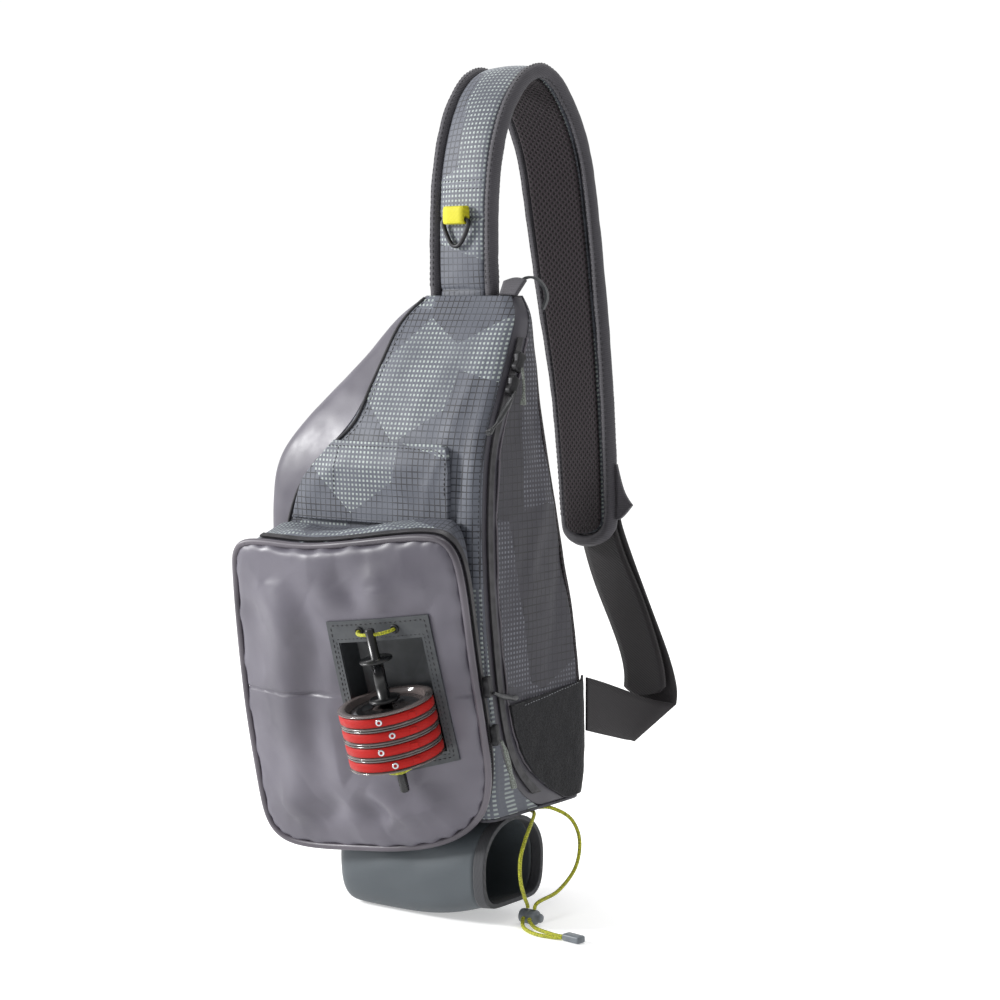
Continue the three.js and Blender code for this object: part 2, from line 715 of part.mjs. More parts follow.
function pocketRings(inset) {
  const walls = [1, 0.66, 0.33, 0].map((share) =>
    steps(outlineSamples - 1, 0, outlineSamples - 1).map((i) => gussetPoint(i, share, inset)));
  return [...walls, ...faceRows.map((row) => faceRing(row, inset))];
}

// Spool station: its own axes are right, up along the bar, and out of the face
const stationOut = (() => {
  const turn = (pocketTurn + stationTurn) * degrees;
  const lean = pocketLean * degrees;
  return vec(Math.sin(turn) * Math.cos(lean), -Math.cos(turn) * Math.cos(lean), -Math.sin(lean));
})();
const stationLevel = vec(0, 0, 1).cross(stationOut).normalize();
const stationRight = stationLevel.applyAxisAngle(stationOut, stationRoll * degrees);
const stationUpward = stationOut.clone().cross(stationRight);
const stationPlace = pocketAt(stationAcross, stationUp, -faceHeight(stationAcross, stationUp));

// The face's height over the station's plane, at a place of the station
function stationFace(x, y) {
  const point = stationPlace.clone().addScaledVector(stationRight, x).addScaledVector(stationUpward,
      y).sub(pocketMiddle);
  const height = faceHeight(point.dot(pocketRight), point.dot(pocketUp));
  return (height - point.dot(pocketOut)) / stationOut.dot(pocketOut);
}

const trayDepth = spoolRadius - barStandOff + trayClearance + trayWall;
const windowHeight = windowTop - windowBottom;
const windowMiddle = (windowTop + windowBottom) / 2;
const sheetTop = (x, y) => stationFace(x, y) + gap + sheetThickness;

function windowPrism(margin, depth) {
  const box = new THREE.BoxGeometry(windowWidth + 2 * margin, windowHeight + 2 * margin, depth);
  return box.translate(0, windowMiddle, 0);
}

function buildPocket() {
  const middleOf = (inset) => pocketAt(0, 0, inset - faceHeight(0, 0));
  const shell = loft([...pocketRings(0).reverse(), ...pocketRings(pocketWall)],
    { start: middleOf(0), end: middleOf(pocketWall) });
  const toStation = new THREE.Matrix4().makeBasis(stationRight, stationUpward,
      stationOut).setPosition(stationPlace);
  const opening = windowPrism(trayWall + gap, 2 * trayDepth).applyMatrix4(toStation);
  add("front_pocket", cut(shell, opening), satin);

  const pipingOut = pipingRadius + gap;
  const pipingLine = steps(outlineSamples - 1, 0, outlineSamples - 1).map((i) => {
    const edge = outlineAt(i);
    const scaleS = 1 + (2 * pipingOut) / pocketWidth;
    const scaleT = 1 + (2 * pipingOut) / pocketHeight;
    return pocketAt(edge.x * scaleS, edge.y * scaleT, pocketEdge - 0.5);
  });
  add("pocket_piping", closedSweep(pipingLine, roundSection(pipingRadius, 6), pocketOut), bindingTape);
}

// The pocket's zip runs in its side wall from the upper left over the top and down the right side to
// the bottom.
const pocketZipStart = 4; // places along the outline's samples
const pocketBandEnd = 31;
const pocketChainEnd = 22;
const bandNear = pipingRadius + gap;
const bandThickness = 1.4;
const bandRoom = 17; // the band narrows where the wall is less deep than this
const bandLift = 0.95;
const pocketChainThickness = 1.2;

// A place on the side wall at a distance behind the piping, raised off it
function bandPoint(i, depth, lift) {
  const whole = -gussetPoint(i, 1).sub(gussetPoint(i, 0)).dot(pocketOut);
  const share = (bandNear + depth * Math.min(1, whole / bandRoom)) / whole;
  return gussetPoint(i, share).addScaledVector(gussetNormal(i, share), lift);
}

function gussetStrip(near, far, end, lift, thickness) {
  const stations = steps(end - pocketZipStart, pocketZipStart, end);
  const raised = (by) => stations.map((i) => steps(2, near, far).map((depth) => bandPoint(i, depth, by)));
  return slab(raised(lift), raised(lift - thickness));
}

function buildPocketZip() {
  const bandTop = bandLift + bandThickness;
  add("pocket_zip_band", gussetStrip(0, pocketBandWidth, pocketBandEnd, bandTop, bandThickness), satin);
  const from = (pocketBandWidth - pocketChainWidth) / 2;
  const chainTop = bandTop + 2 * gap + pocketChainThickness;
  const chain = gussetStrip(from, from + pocketChainWidth, pocketChainEnd, chainTop,
      pocketChainThickness);
  add("pocket_zip_chain", chain, zipCoil);

  const places = [18.4, 19.5]; // along the outline's samples
  places.forEach((i, k) => {
    const out = gussetNormal(i, 0.3);
    const upward = gussetPoint(i - 0.5, 0.3).sub(gussetPoint(i + 0.5, 0.3));
    const place = bandPoint(i, pocketBandWidth / 2, chainTop + gap);
    buildSlider(k + 3, place, out, upward);
  });
}

// Spool station pieces
function buildStation() {
  const station = turnedGroup(stationPlace, stationRight, stationUpward, stationOut);
  const place = (name, geometry, material) => add(name, geometry, material, station);

  const half = stationWidth / 2;
  const sheetRows = (rise) => steps(8).map((up) => steps(6, -half, half).map((x) => {
    const bottom = -stationHeight / 2 - stationPeak * (1 - Math.abs(x) / half);
    const y = mix(bottom, stationHeight / 2, up);
    return vec(x, y, stationFace(x, y) + gap + rise);
  }));
  const sheet = slab(sheetRows(sheetThickness), sheetRows(0));
  place("tippet_frame", cut(sheet, windowPrism(0, 2 * trayDepth)), coatedSheet);

  const trayRing = (margin, z) =>
    roundedRectangle(windowWidth + 2 * margin, windowHeight + 2 * margin, 2, 3).map((p) =>
      vec(p.x, p.y + windowMiddle, z ?? stationFace(p.x, p.y + windowMiddle)));
  const tray = loft([trayRing(trayWall, -trayDepth), trayRing(trayWall), trayRing(0), trayRing(0,
      trayWall - trayDepth)]);
  place("tippet_tray", tray, coatedSheet);

  const barCentre = (geometry) => geometry.translate(barShift, 0, barStandOff);
  const stackTop = spoolHeight / 2 + spoolPitch * (spoolCount - 0.5) - spoolPitch / 2;
  const stackBottom = windowBottom + 1.1;
  const top = stackBottom + stackTop + spoolHeight / 2;
  const profile = [
    [0, barBottom], [barTipRadius, barBottom], [barTipRadius, stackBottom - 1.9], [8, stackBottom - 1.9],
    [8, stackBottom - gap], [barRadius, stackBottom - gap], [barRadius, top + gap], [10, top + gap],
        [10, top + 2.4],
    [barRadius, top + 2.4], [barRadius, barDiscHeight], [barDiscRadius, barDiscHeight],
    [barDiscRadius, barDiscHeight + 1.6], [barTipRadius, barDiscHeight + 1.6], [barTipRadius, barTop],
        [0, barTop],
  ].map(([radius, y]) => new THREE.Vector2(radius, y));
  const loopHeight = (windowTop + stationHeight / 2) / 2;
  const hole = new THREE.CylinderGeometry(loopCordRadius + gap, loopCordRadius + gap,
      4 * barTipRadius, 10);
  hole.rotateZ(Math.PI / 2).translate(0, loopHeight, 0);
  place("tippet_bar", barCentre(cut(new THREE.LatheGeometry(profile, 12), hole)), blackPlastic);

  const bore = barRadius + spoolClearance;
  const rim = spoolHeight / 2;
  const floor = spoolRadius - 3;
  const spoolProfile = [
    [bore, -rim], [8, -rim], [9, -1.2], [floor - 3, -2], [floor - 2, -rim], [spoolRadius, -rim],
        [floor, 1.2 - rim],
    [floor, rim - 1.2], [spoolRadius, rim], [floor - 2, rim], [floor - 3, 0], [bore, 1], [bore, -rim],
  ].map(([radius, y]) => new THREE.Vector2(radius, y));
  const bandHalf = rim - 1.7;
  const bandProfile = [[floor + gap, -bandHalf], [spoolRadius - 0.4, -bandHalf], [spoolRadius - 0.4,
      bandHalf],
    [floor + gap, bandHalf], [floor + gap, -bandHalf]].map(([radius, y]) => new THREE.Vector2(radius, y));
  for (let i = 0; i < spoolCount; i++) {
    const height = stackBottom + rim + i * spoolPitch;
    const spool = new THREE.LatheGeometry(spoolProfile, 16).translate(0, height, 0);
    const band = new THREE.LatheGeometry(bandProfile, 16).translate(0, height, 0);
    place(`spool_${i + 1}`, barCentre(spool), clearPlastic);
    place(`spool_band_${i + 1}`, barCentre(band), redBand);
  }

  const loopBottom = -(stationHeight / 2) + 3;
  const ends = [[-1, loopHeight], [1, loopHeight], [-1, loopBottom], [1, loopBottom]];
  ends.forEach(([sign, y], i) => {
    const x = sign * eyeletAcross;
    const low = sheetTop(x, y) + gap;
    const ring = [[loopCordRadius + gap, 0], [eyeletRadius, 0], [eyeletRadius, 1],
        [loopCordRadius + gap, 1],
      [loopCordRadius + gap, 0]].map(([radius, z]) => new THREE.Vector2(radius, z));
    const eyelet = new THREE.LatheGeometry(ring, 8).rotateX(Math.PI / 2).translate(x, y, low);
    place(`eyelet_${i + 1}`, eyelet, blackPlastic);
  });
  // Each loop rises out of its eyelets to the bar: the top one through its hole, the lower one across
  // its front
  const loopOf = (y, sag, crest) => {
    const rise = [[1, 0, 0], [0.98, 0.1, 0.3], [0.72, 0.5, 0.75], [0.36, 0.9, 1], [0, 1, 1]];
    const side = (sign) => rise.map(([out, drop, height]) => {
      const low = sheetTop(sign * eyeletAcross, y) + gap;
      return vec(sign * out * eyeletAcross, y - sag * drop, mix(low, crest, height));
    });
    return [...side(-1), ...side(1).reverse().slice(1)];
  };
  place("loop_top", cord(loopOf(loopHeight, 0, barStandOff), loopCordRadius, 12), neonCord);
  const over = barStandOff + barTipRadius + gap + loopCordRadius;
  place("loop_bottom", cord(loopOf(loopBottom, 4, over), loopCordRadius, 12), neonCord);
}

// Zip sliders and their cord pulls
// Pull rows: places of the cord from the slider, as lengths across, down and out, and the radius there
const pullShapes = [
  [[0, 0, 0, 1.1], [2, 5, 1, 1.1], [4.5, 11, 1.5, 1.1], [6.5, 17, 1.5, 1.1], [7, 19.5, 1.5, 2.4],
      [7.5, 22, 1.5, 2.4]],
  [[0, 0, 0, 1.1], [-2, 6, 0.5, 1.1], [-3, 8, 0.8, 2.2], [-8, 24, 1, 2.2], [-9, 26, 1, 1.1], [-12, 32,
      1, 1.1],
    [-13, 34, 1, 2.4], [-15, 37, 1, 2.4]],
  [[0, 0, 0, 1.1], [5, 3, 1, 1.1], [8, 5, 1.5, 2], [24, 11, 1.5, 2], [26, 12, 1.5, 1.1], [29, 13, 1.5,
      2.4],
    [33, 14, 1.5, 2.4]],
  [[0, 0, 0, 1.1], [1.5, 5, 1, 1.1], [2, 7, 1.2, 2], [6, 21, 1.2, 2], [6.5, 23, 1.2, 1.1], [8, 30,
      1.2, 2.4],
    [9, 34, 1.2, 2.4]],
];

function pullGeometry(rows) {
  const points = rows.map(([across, down, out]) => vec(across, -down, out));
  const rings = points.map((point, i) => {
    const onward = points[Math.min(i + 1, points.length - 1)].clone().sub(points[Math.max(i - 1,
        0)]).normalize();
    const sideways = onward.clone().cross(vec(0, 0, 1)).normalize();
    const outward = sideways.clone().cross(onward);
    return roundSection(rows[i][3], 6).map((p) =>
      point.clone().addScaledVector(sideways, p.x).addScaledVector(outward, p.y));
  });
  return loft(rings);
}

function buildSlider(number, place, out, upward) {
  const right = upward.clone().cross(out).normalize();
  const group = turnedGroup(place, right, out.clone().cross(right), out);
  const [w, h] = [sliderWidth / 2, sliderLength / 2];
  const waist = 0.7;
  const outline = [[-w, -h * 0.6], [-w * waist, -h], [w * waist, -h], [w, -h * 0.6], [w * waist, 0],
      [w, h * 0.6],
    [w * waist, h], [-w * waist, h], [-w, h * 0.6], [-w * waist, 0]];
  const shape = new THREE.Shape(outline.map(([x, y]) => new THREE.Vector2(x, y)));
  const body = new THREE.ExtrudeGeometry(shape, { depth: sliderThickness, bevelEnabled: false });
  add(`zip_slider_${number}`, body, darkMetal, group);
  const pull = pullGeometry(pullShapes[number - 1]);
  pull.translate(0, -h * 0.6, sliderThickness + gap + 1.1);
  add(`zip_pull_${number}`, pull, pullCord, group);
}

function buildSliders() {
  const mainSliders = [0.873, 0.828];
  mainSliders.forEach((up, i) => {
    const side = zipSide(up);
    const out = bodyNormal(side, up);
    const upward = bodyPoint(zipSide(up + 0.02), up + 0.02).sub(bodyPoint(zipSide(up - 0.02), up - 0.02));
    const place = bodyPoint(side, up).addScaledVector(out, chainLift + gap);
    buildSlider(i + 1, place, out, upward);
  });
}

// Zip garage and haul loop at the top right of the bag
function buildTopTrim() {
  const { right, front, back } = bodySection(1);
  const garageWidth = 13;
  const garage = [
    [vec(right - garageWidth + 2, mix(front, back, 0.2), bodyTop + gap), vec(right + 2, mix(front,
        back, 0.2), bodyTop + gap)],
    [vec(right - garageWidth + 4, mix(front, back, 0.3), bodyTop + 9), vec(right + 6, mix(front, back,
        0.3), bodyTop + 7)],
    [vec(right - 1, mix(front, back, 0.4), bodyTop + 12), vec(right + 7, mix(front, back, 0.4),
        bodyTop + 10)],
  ];
  add("zip_garage", ribbon(garage, 2.4), bindingTape);
  const foot = vec(right - 6, mix(front, back, 0.75), bodyTop + gap);
  const arch = [[0, 0, 0], [1, 1, 6], [6, 2, 11], [13, 4, 11], [19, 5, 5], [21, 5, -2], [19, 3, -9]];
  const route = new THREE.CatmullRomCurve3(arch.map(([x, y, z]) => foot.clone().add(vec(x, y, z))));
  const half = vec(-1.5, 3.5, 0);
  const pairs = steps(14).map((t) => [route.getPoint(t).sub(half), route.getPoint(t).add(half)]);
  add("haul_loop", ribbon(pairs, 1.6), greyWebbing);
}

// Shoulder strap
// Across is a share of the drift, back of the reach and up of the rise; turn is the width's yaw in
// degrees
const strapRows = [
  { across: 0.04, back: -0.01, up: -strapSeat / strapRise, turn: 0, half: 0.92 },
  { across: 0.0, back: -0.015, up: 0.1, turn: -4, half: 0.97 },
  { across: 0.0, back: -0.018, up: 0.25, turn: -7, half: 1 },
  { across: 0.0, back: 0.0, up: 0.51, turn: -7, half: 1 },
  { across: 0.0, back: 0.088, up: 0.75, turn: -6, half: 1 },
  { across: 0.0, back: 0.265, up: 0.93, turn: -4, half: 1 },
  { across: 0.0, back: 0.47, up: 0.99, turn: -1, half: 1 },
  { across: 0.0, back: 0.67, up: 0.9, turn: 2, half: 1 },
  { across: 0.0, back: 0.87, up: 0.68, turn: 4, half: 1 },
  { across: 0.0, back: 0.96, up: 0.44, turn: 4, half: 1 },
  { across: 0.29, back: 1.0, up: -0.02, turn: -3, half: 1 },
  { across: 0.667, back: 1.0, up: -0.45, turn: -13, half: 1 },
  { across: 0.92, back: 0.99, up: -0.93, turn: -17, half: 0.99 },
  { across: 1.0, back: 0.975, up: -1.04, turn: -18, half: 0.97 },
];
const strapFoot = (() => {
  const { left, right, front, back } = bodySection(1);
  const wallLeft = left + bodyWall + gap;
  return vec(Math.min(wallLeft + (strapWidth * strapRows[0].half) / 2 + gap, (left + right) / 2),
      (front + back) / 2, bodyTop);
})();
const strapCurve = new THREE.CatmullRomCurve3(strapRows.map(({ across, back, up }) =>
  strapFoot.clone().add(vec(across * strapDrift, back * strapReach, up * strapRise))));

function strapFrame(t) {
  const place = t * (strapRows.length - 1);
  const i = Math.min(Math.floor(place), strapRows.length - 2);
  const read = (column) => mix(strapRows[i][column], strapRows[i + 1][column], place - i);
  const onward = strapCurve.getTangent(t);
  const turn = read("turn") * degrees;
  const wide = vec(Math.cos(turn), Math.sin(turn), 0);
  wide.addScaledVector(onward, -wide.dot(onward)).normalize();
  return { centre: strapCurve.getPoint(t), onward, wide, out: wide.clone().cross(onward),
      half: (read("half") * strapWidth) / 2 };
}

const strapCount = 26;
// Places along the strap: from its foot to the start of the round end, then the round end itself
function strapStations(inset) {
  const straight = steps(strapCount).map((t) => ({ ...strapFrame(t), share: 1 }));
  const last = straight[straight.length - 1];
  const depth = strapEnd - inset;
  const round = [0.45, 0.75, 0.93].map((share) => {
    const centre = last.centre.clone().addScaledVector(last.onward, depth * share);
    return { ...last, centre, share: Math.sqrt(1 - share * share) };
  });
  return [...straight, ...round];
}

function buildStrap() {
  const padInset = bindingWidth + 2 * gap;
  const rings = strapStations(padInset).map(({ centre, wide, out, half, share }) =>
    roundedRectangle(2 * (half - padInset) * share, strapThickness, 2, 2).map((p) =>
      centre.clone().addScaledVector(wide, p.x).addScaledVector(out, p.y)));
  add("strap_pad", loft(rings), ripstop);

  const lining = (depth) => strapStations(padInset + gap).map(({ centre, wide, out, half, share }) =>
    steps(2, -1, 1).map((a) =>
      centre.clone().addScaledVector(wide, a * (half - padInset - gap) * share).addScaledVector(out,
          -depth)));
  const face = strapThickness / 2 + 3 * gap; // more than gap, because the strap twists
  add("strap_lining", slab(lining(face), lining(face + liningThickness)), spacerMesh);

  const edge = bindingWidth / 2;
  const frames = steps(strapCount).map((t) => strapFrame(t));
  const sideOf = (sign) => frames.map(({ centre, wide, out, half }) =>
    ({ point: centre.clone().addScaledVector(wide, sign * (half - edge)),
        inward: wide.clone().multiplyScalar(-sign), out }));
  const last = frames[frames.length - 1];
  const arc = steps(10, 0, 180).slice(1, -1).map((turn) => {
    const [c, s] = [Math.cos(turn * degrees), Math.sin(turn * degrees)];
    const [a, b] = [last.half - edge, strapEnd - edge];
    const point = last.centre.clone().addScaledVector(last.wide, -a * c).addScaledVector(last.onward,
        b * s);
    const inward = last.wide.clone().multiplyScalar(c / a).addScaledVector(last.onward,
        -s / b).normalize();
    return { point, inward, out: last.out };
  });
  const section = roundedRectangle(bindingWidth, bindingThickness, 2.4, 2);
  const bindingRings = [...sideOf(-1), ...arc, ...sideOf(1).reverse()].map(({ point, inward, out }) =>
    section.map((p) => point.clone().addScaledVector(inward, p.x).addScaledVector(out, p.y)));
  add("strap_binding", loft(bindingRings), bindingTape);
}

// Webbing tab and D-ring on the strap's outer face; the group's axes are across, up along the strap
// and out
const ringPlace = 0.178; // along the strap
function buildRing() {
  const { centre, onward, wide, out } = strapFrame(ringPlace);
  const group = turnedGroup(centre.clone().addScaledVector(out, strapThickness / 2 + gap), wide,
      onward, out);
  const lie = ringWire + 1.6; // height of the wire's middle over the strap
  const hole = new THREE.CylinderGeometry(ringWire + gap, ringWire + gap, 2 * tabWidth,
      10).rotateZ(Math.PI / 2);
  const tabOutline = new THREE.Shape(roundedRectangle(tabHeight, 2 * lie, 2.4, 3).map((p) =>
    new THREE.Vector2(p.x + tabHeight / 2 - lie, p.y + lie)));
  const tab = new THREE.ExtrudeGeometry(tabOutline, { depth: tabWidth, bevelEnabled: false });
  tab.translate(0, 0, -tabWidth / 2).applyMatrix4(new THREE.Matrix4().makeBasis(vec(0, 1, 0), vec(0,
      0, 1), vec(1, 0, 0)));
  add("ring_tab", cut(tab, hole.translate(0, 0, lie)), neonCord, group);

  const half = ringWidth / 2 - ringWire;
  const outline = [
    vec(-half * 0.83, 0, lie), vec(half * 0.83, 0, lie), vec(half * 0.96, -0.9, lie), vec(half, -2.8,
        lie),
    vec(half * 0.86, -7, lie), vec(half * 0.56, -13, lie), vec(half * 0.3, -ringHeight + 3.4, lie),
    vec(0, -ringHeight + 2.4, lie), vec(-half * 0.3, -ringHeight + 3.4, lie), vec(-half * 0.56, -13, lie),
    vec(-half * 0.86, -7, lie), vec(-half, -2.8, lie), vec(-half * 0.96, -0.9, lie),
  ];
  add("d_ring", closedSweep(outline, roundSection(ringWire, 8), vec(0, 0, 1)), darkMetal, group);
}

// Ladder lock on the strap's outer side near its end, with the tab and wing that hold it
const lockPlace = 0.975;
const lockOut = bindingThickness / 2 + gap + webbingThickness + gap + lockBar / 2;
function buildLock() {
  const { centre, onward, wide, out } = strapFrame(lockPlace);
  const group = turnedGroup(centre, wide.clone().negate(), onward.clone().negate(), out);
  const frame = new THREE.Shape(roundedRectangle(lockWidth, lockHeight, 3, 3));
  frame.holes.push(new THREE.Path(roundedRectangle(lockWidth - 2 * lockBar, lockHeight - 2 * lockBar,
      1, 2).reverse()));
  const body = new THREE.ExtrudeGeometry(frame, { depth: lockBar, bevelEnabled: false });
  body.translate(0, lockHeight / 2, lockOut - lockBar / 2);
  add("ladder_lock", body, blackPlastic, group);

  const tabLow = strapThickness / 2 + gap;
  const tab = new THREE.BoxGeometry(webbingWidth - 4, 14, lockOut - lockBar / 2 - gap - tabLow);
  tab.translate(0, lockHeight, (lockOut - lockBar / 2 - gap + tabLow) / 2);
  add("lock_tab", tab, darkWebbing, group);
}

// The wing is a triangle of cloth along the strap's right edge
function buildWing() {
  const rows = [{ t: 0.895, out: 0.6 }, { t: 0.92, out: 5 }, { t: 0.955, out: 12 }, { t: 0.985,
      out: 7 }, { t: 1.0, out: 2.5 }];
  const pairs = rows.map(({ t, out }) => {
    const { centre, wide, half, out: normal } = strapFrame(t);
    const edge = centre.clone().addScaledVector(wide, half + gap + 0.3).addScaledVector(normal, 1.5);
    return [edge, edge.clone().addScaledVector(wide, out).addScaledVector(normal, out * 0.3)];
  });
  add("strap_wing", ribbon(pairs, 2.4), ripstop);
}

// Webbing from the bag's rear right edge out to a diagonal fold, then up behind the strap's end to the
// lock.
// Each row is a pair of edge places: the first edge is on top until the fold and on the right after it.
const webbingRoot = vec(79.6, 73.5, 132);
const webbingRows = [
  [[0, 0, 18], [0, 0, -18]],
  [[2, 13, 14], [1.5, 13, -22]],
  [[5.5, 38, 5], [2.5, 31, -27]],
  [[13.5, 58, -4], [3.5, 43, -30.5]],
  [[23, 65, -6], [4.5, 47, -31]],
  [[26.5, 70, -7], [5.5, 50, -32]],
  [[25.5, 74, 0], [1, 62, -24]],
  [[24, 73, 10], [-9, 75, -4]],
  [[20, 71, 26], [-15, 78, 18]],
  [[9, 70.5, 50], [-26, 78, 40]],
  [[-1, 70.5, 72], [-36, 78, 63]],
  [[-9, 69.5, 91], [-44, 78.5, 83]],
];

function buildWebbing() {
  const { centre, onward, wide, out } = strapFrame(lockPlace);
  const at = (side, up, depth) => centre.clone().addScaledVector(wide, (side * webbingWidth) / 2)
    .addScaledVector(onward, -up).addScaledVector(out, depth);
  const reach = lockBar / 2 + gap + webbingThickness / 2;
  const pairs = webbingRows.map(([a, b]) => [a, b].map(([x, y, z]) => webbingRoot.clone().add(vec(x,
      y, z))));
  const behind = [[-6, reach], [0.5, reach], [lockBar + 0.2, reach], [lockBar + 1.4, 1.6],
      [lockBar + 1.5, 0.5]];
  const over = behind.map(([up, depth]) => [at(1, up, lockOut + depth), at(-1, up, lockOut + depth)]);
  add("webbing", ribbon([...pairs, ...over], webbingThickness), darkWebbing);

  const front = behind.map(([up, depth]) => [up, -depth]).reverse();
  const down = front.map(([up, depth]) => [at(1, up, lockOut + depth), at(-1, up, lockOut + depth)]);
  const tail = tailRows.map(([a, b]) => [a, b].map(([x, y, z]) => webbingRoot.clone().add(vec(x, y, z))));
  add("webbing_tail", ribbon([...down, ...tail], webbingThickness), darkWebbing);
}

// The free tail hangs down in front of the rising webbing to a rounded end
const tailRows = [
  [[-11, 63.5, 91], [-45, 72.5, 77]],
  [[2, 63.5, 69], [-31, 71.5, 51]],
  [[13, 63.5, 42], [-20, 71.5, 28]],
  [[21, 64, 18], [-15, 71, 11]],
  [[21.5, 64.5, 5], [-15.5, 70.5, 1]],
  [[17, 65, 0.5], [-11, 70, -2.5]],
  [[9, 66.5, -2], [-3, 68.5, -3.5]],
];

// Drawcord: chosen places of its cords, from the bag's underside to the lock and on to the end piece
const cordFrontRoute = [
  [71, 20, 69], [79, 14, 68.5], [88, -2, 66], [93, -16, 58], [95, -24, 47], [94, -22, 33], [90, -12,
      20], [86.5, -4.5, 14],
  [86, -3, 11.8], [86, -3, 10.6],
];
const cordBackRoute = [
  [71, 28, 69], [79, 34, 68.5], [88, 43, 61], [93, 46, 47], [94, 40, 30], [93, 22, 18], [92, 3, 15],
      [91.5, -1.5, 13.4],
  [91.5, -3, 11.8], [91.5, -3, 10.6],
];
const cordTailRoutes = [
  [[86.5, -8.3, 5.3], [87, -10, 4.6], [93, -17, 1.8], [107, -24, 1.5], [121, -23.4, 1.5], [126.2,
      -22.4, 2]],
  [[91.5, -8.3, 5.3], [92, -9.8, 4.6], [99, -13, 1.8], [112, -17, 1.5], [121, -18.6, 1.5], [126.4,
      -18.8, 2]],
];
const cordLockPlace = vec(89, -3, 5.3);

function buildDrawcord() {
  const route = (rows) => rows.map(([x, y, z]) => vec(x, y, z));
  add("drawcord_front", cord(route(cordFrontRoute), cordRadius, 18), neonCord);
  add("drawcord_back", cord(route(cordBackRoute), cordRadius, 18), neonCord);
  const half = cordLockLength / 2;
  const profile = [[0, -half], [3.4, -half], [cordLockRadius, -half + 1.6], [cordLockRadius,
      half - 4], [3.2, half - 3],
    [3.2, half], [0, half]].map(([radius, y]) => new THREE.Vector2(radius, y));
  const lock = new THREE.LatheGeometry(profile, 10).rotateZ(-Math.PI / 2);
  lock.translate(cordLockPlace.x, cordLockPlace.y, cordLockPlace.z);
  add("cord_lock", lock, greyPlastic);
  cordTailRoutes.forEach((rows, i) => add(`cord_tail_${i + 1}`, cord(route(rows), cordRadius, 10),
      neonCord));
  const end = new THREE.BoxGeometry(14, 7.4, 4.6).rotateZ(-0.13).translate(133.8, -20.8, 2.6);
  add("cord_end", end, greyPlastic);
}

buildSleeve();
buildBody();
buildMainZip();
buildFlyPatch();
buildUpperFlap();
buildPocket();
buildPocketZip();
buildStation();
buildSliders();
buildTopTrim();
buildStrap();
buildRing();
buildLock();
buildWing();
buildWebbing();
buildDrawcord();

export default bag;
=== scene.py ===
import math

import bmesh
import bpy
import numpy as np
from mathutils import Matrix, Vector, bvhtree, noise


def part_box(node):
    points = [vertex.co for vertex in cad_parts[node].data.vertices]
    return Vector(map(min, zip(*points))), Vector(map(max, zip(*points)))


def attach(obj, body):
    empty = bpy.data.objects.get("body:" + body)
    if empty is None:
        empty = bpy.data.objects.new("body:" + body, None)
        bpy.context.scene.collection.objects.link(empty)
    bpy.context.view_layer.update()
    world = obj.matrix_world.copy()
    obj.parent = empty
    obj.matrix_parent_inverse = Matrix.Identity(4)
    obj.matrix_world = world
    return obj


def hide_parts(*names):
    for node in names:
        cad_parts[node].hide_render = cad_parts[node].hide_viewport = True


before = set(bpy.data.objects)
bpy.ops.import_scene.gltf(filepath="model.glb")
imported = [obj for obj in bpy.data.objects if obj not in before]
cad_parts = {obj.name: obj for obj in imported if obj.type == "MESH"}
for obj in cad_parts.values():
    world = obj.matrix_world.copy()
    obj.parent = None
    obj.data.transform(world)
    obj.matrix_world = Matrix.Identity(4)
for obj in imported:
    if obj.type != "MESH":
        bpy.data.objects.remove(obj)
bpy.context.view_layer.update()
mm = 0.001

# Camera
cameraSetup = {"place": (948.3, -1220.2, 404.8), "target": (26.7, 48.3, 267.6), "lens": 85, "sensor": 36}
lens = bpy.data.cameras.new("camera")
lens.lens = cameraSetup["lens"]
lens.sensor_width = cameraSetup["sensor"]
lens.clip_end = 30
viewer = bpy.data.objects.new("camera", lens)
viewer.location = Vector(cameraSetup["place"]) * mm
sight = Vector(cameraSetup["target"]) - Vector(cameraSetup["place"])
viewer.rotation_euler = sight.to_track_quat("-Z", "Y").to_euler()
bpy.context.scene.collection.objects.link(viewer)
bpy.context.scene.camera = viewer
print("stage: camera")


# Colours and nodes
def linear(code):
    parts = [int(code[i : i + 2], 16) / 255 for i in (1, 3, 5)]
    return [c / 12.92 if c <= 0.04045 else ((c + 0.055) / 1.055) ** 2.4 for c in parts] + [1.0]


# Adds one node: settings are its properties, inputs are values or sockets to link.
def addNode(tree, kind, settings=None, inputs=None):
    node = tree.nodes.new(kind)
    for key, value in (settings or {}).items():
        setattr(node, key, value)
    for key, value in (inputs or {}).items():
        if isinstance(value, bpy.types.NodeSocket):
            tree.links.new(value, node.inputs[key])
        else:
            node.inputs[key].default_value = value
    return node


def newFinish(name, color, roughness, metallic=0.0, sheen=0.0, coat=0.0, specular=0.5):
    finish = bpy.data.materials.new(name)
    finish.use_nodes = True
    tree = finish.node_tree
    shader = tree.nodes["Principled BSDF"]
    shader.inputs["Base Color"].default_value = linear(color)
    shader.inputs["Roughness"].default_value = roughness
    shader.inputs["Metallic"].default_value = metallic
    shader.inputs["Sheen Weight"].default_value = sheen
    shader.inputs["Coat Weight"].default_value = coat
    shader.inputs["Specular IOR Level"].default_value = specular
    return finish, tree, shader


def math2(tree, operation, a, b=0.0, c=0.0):
    return addNode(tree, "ShaderNodeMath", {"operation": operation}, {0: a, 1: b, 2: c}).outputs[0]


def mixColors(tree, factor, a, b):
    return addNode(tree, "ShaderNodeMix", {"data_type": "RGBA"}, {0: factor, 6: a, 7: b}).outputs[2]


def spread(tree, value, low, high, toLow=0.0, toHigh=1.0):
    inputs = {0: value, 1: low, 2: high, 3: toLow, 4: toHigh}
    return addNode(tree, "ShaderNodeMapRange", {"interpolation_type": "SMOOTHSTEP"}, inputs).outputs[0]


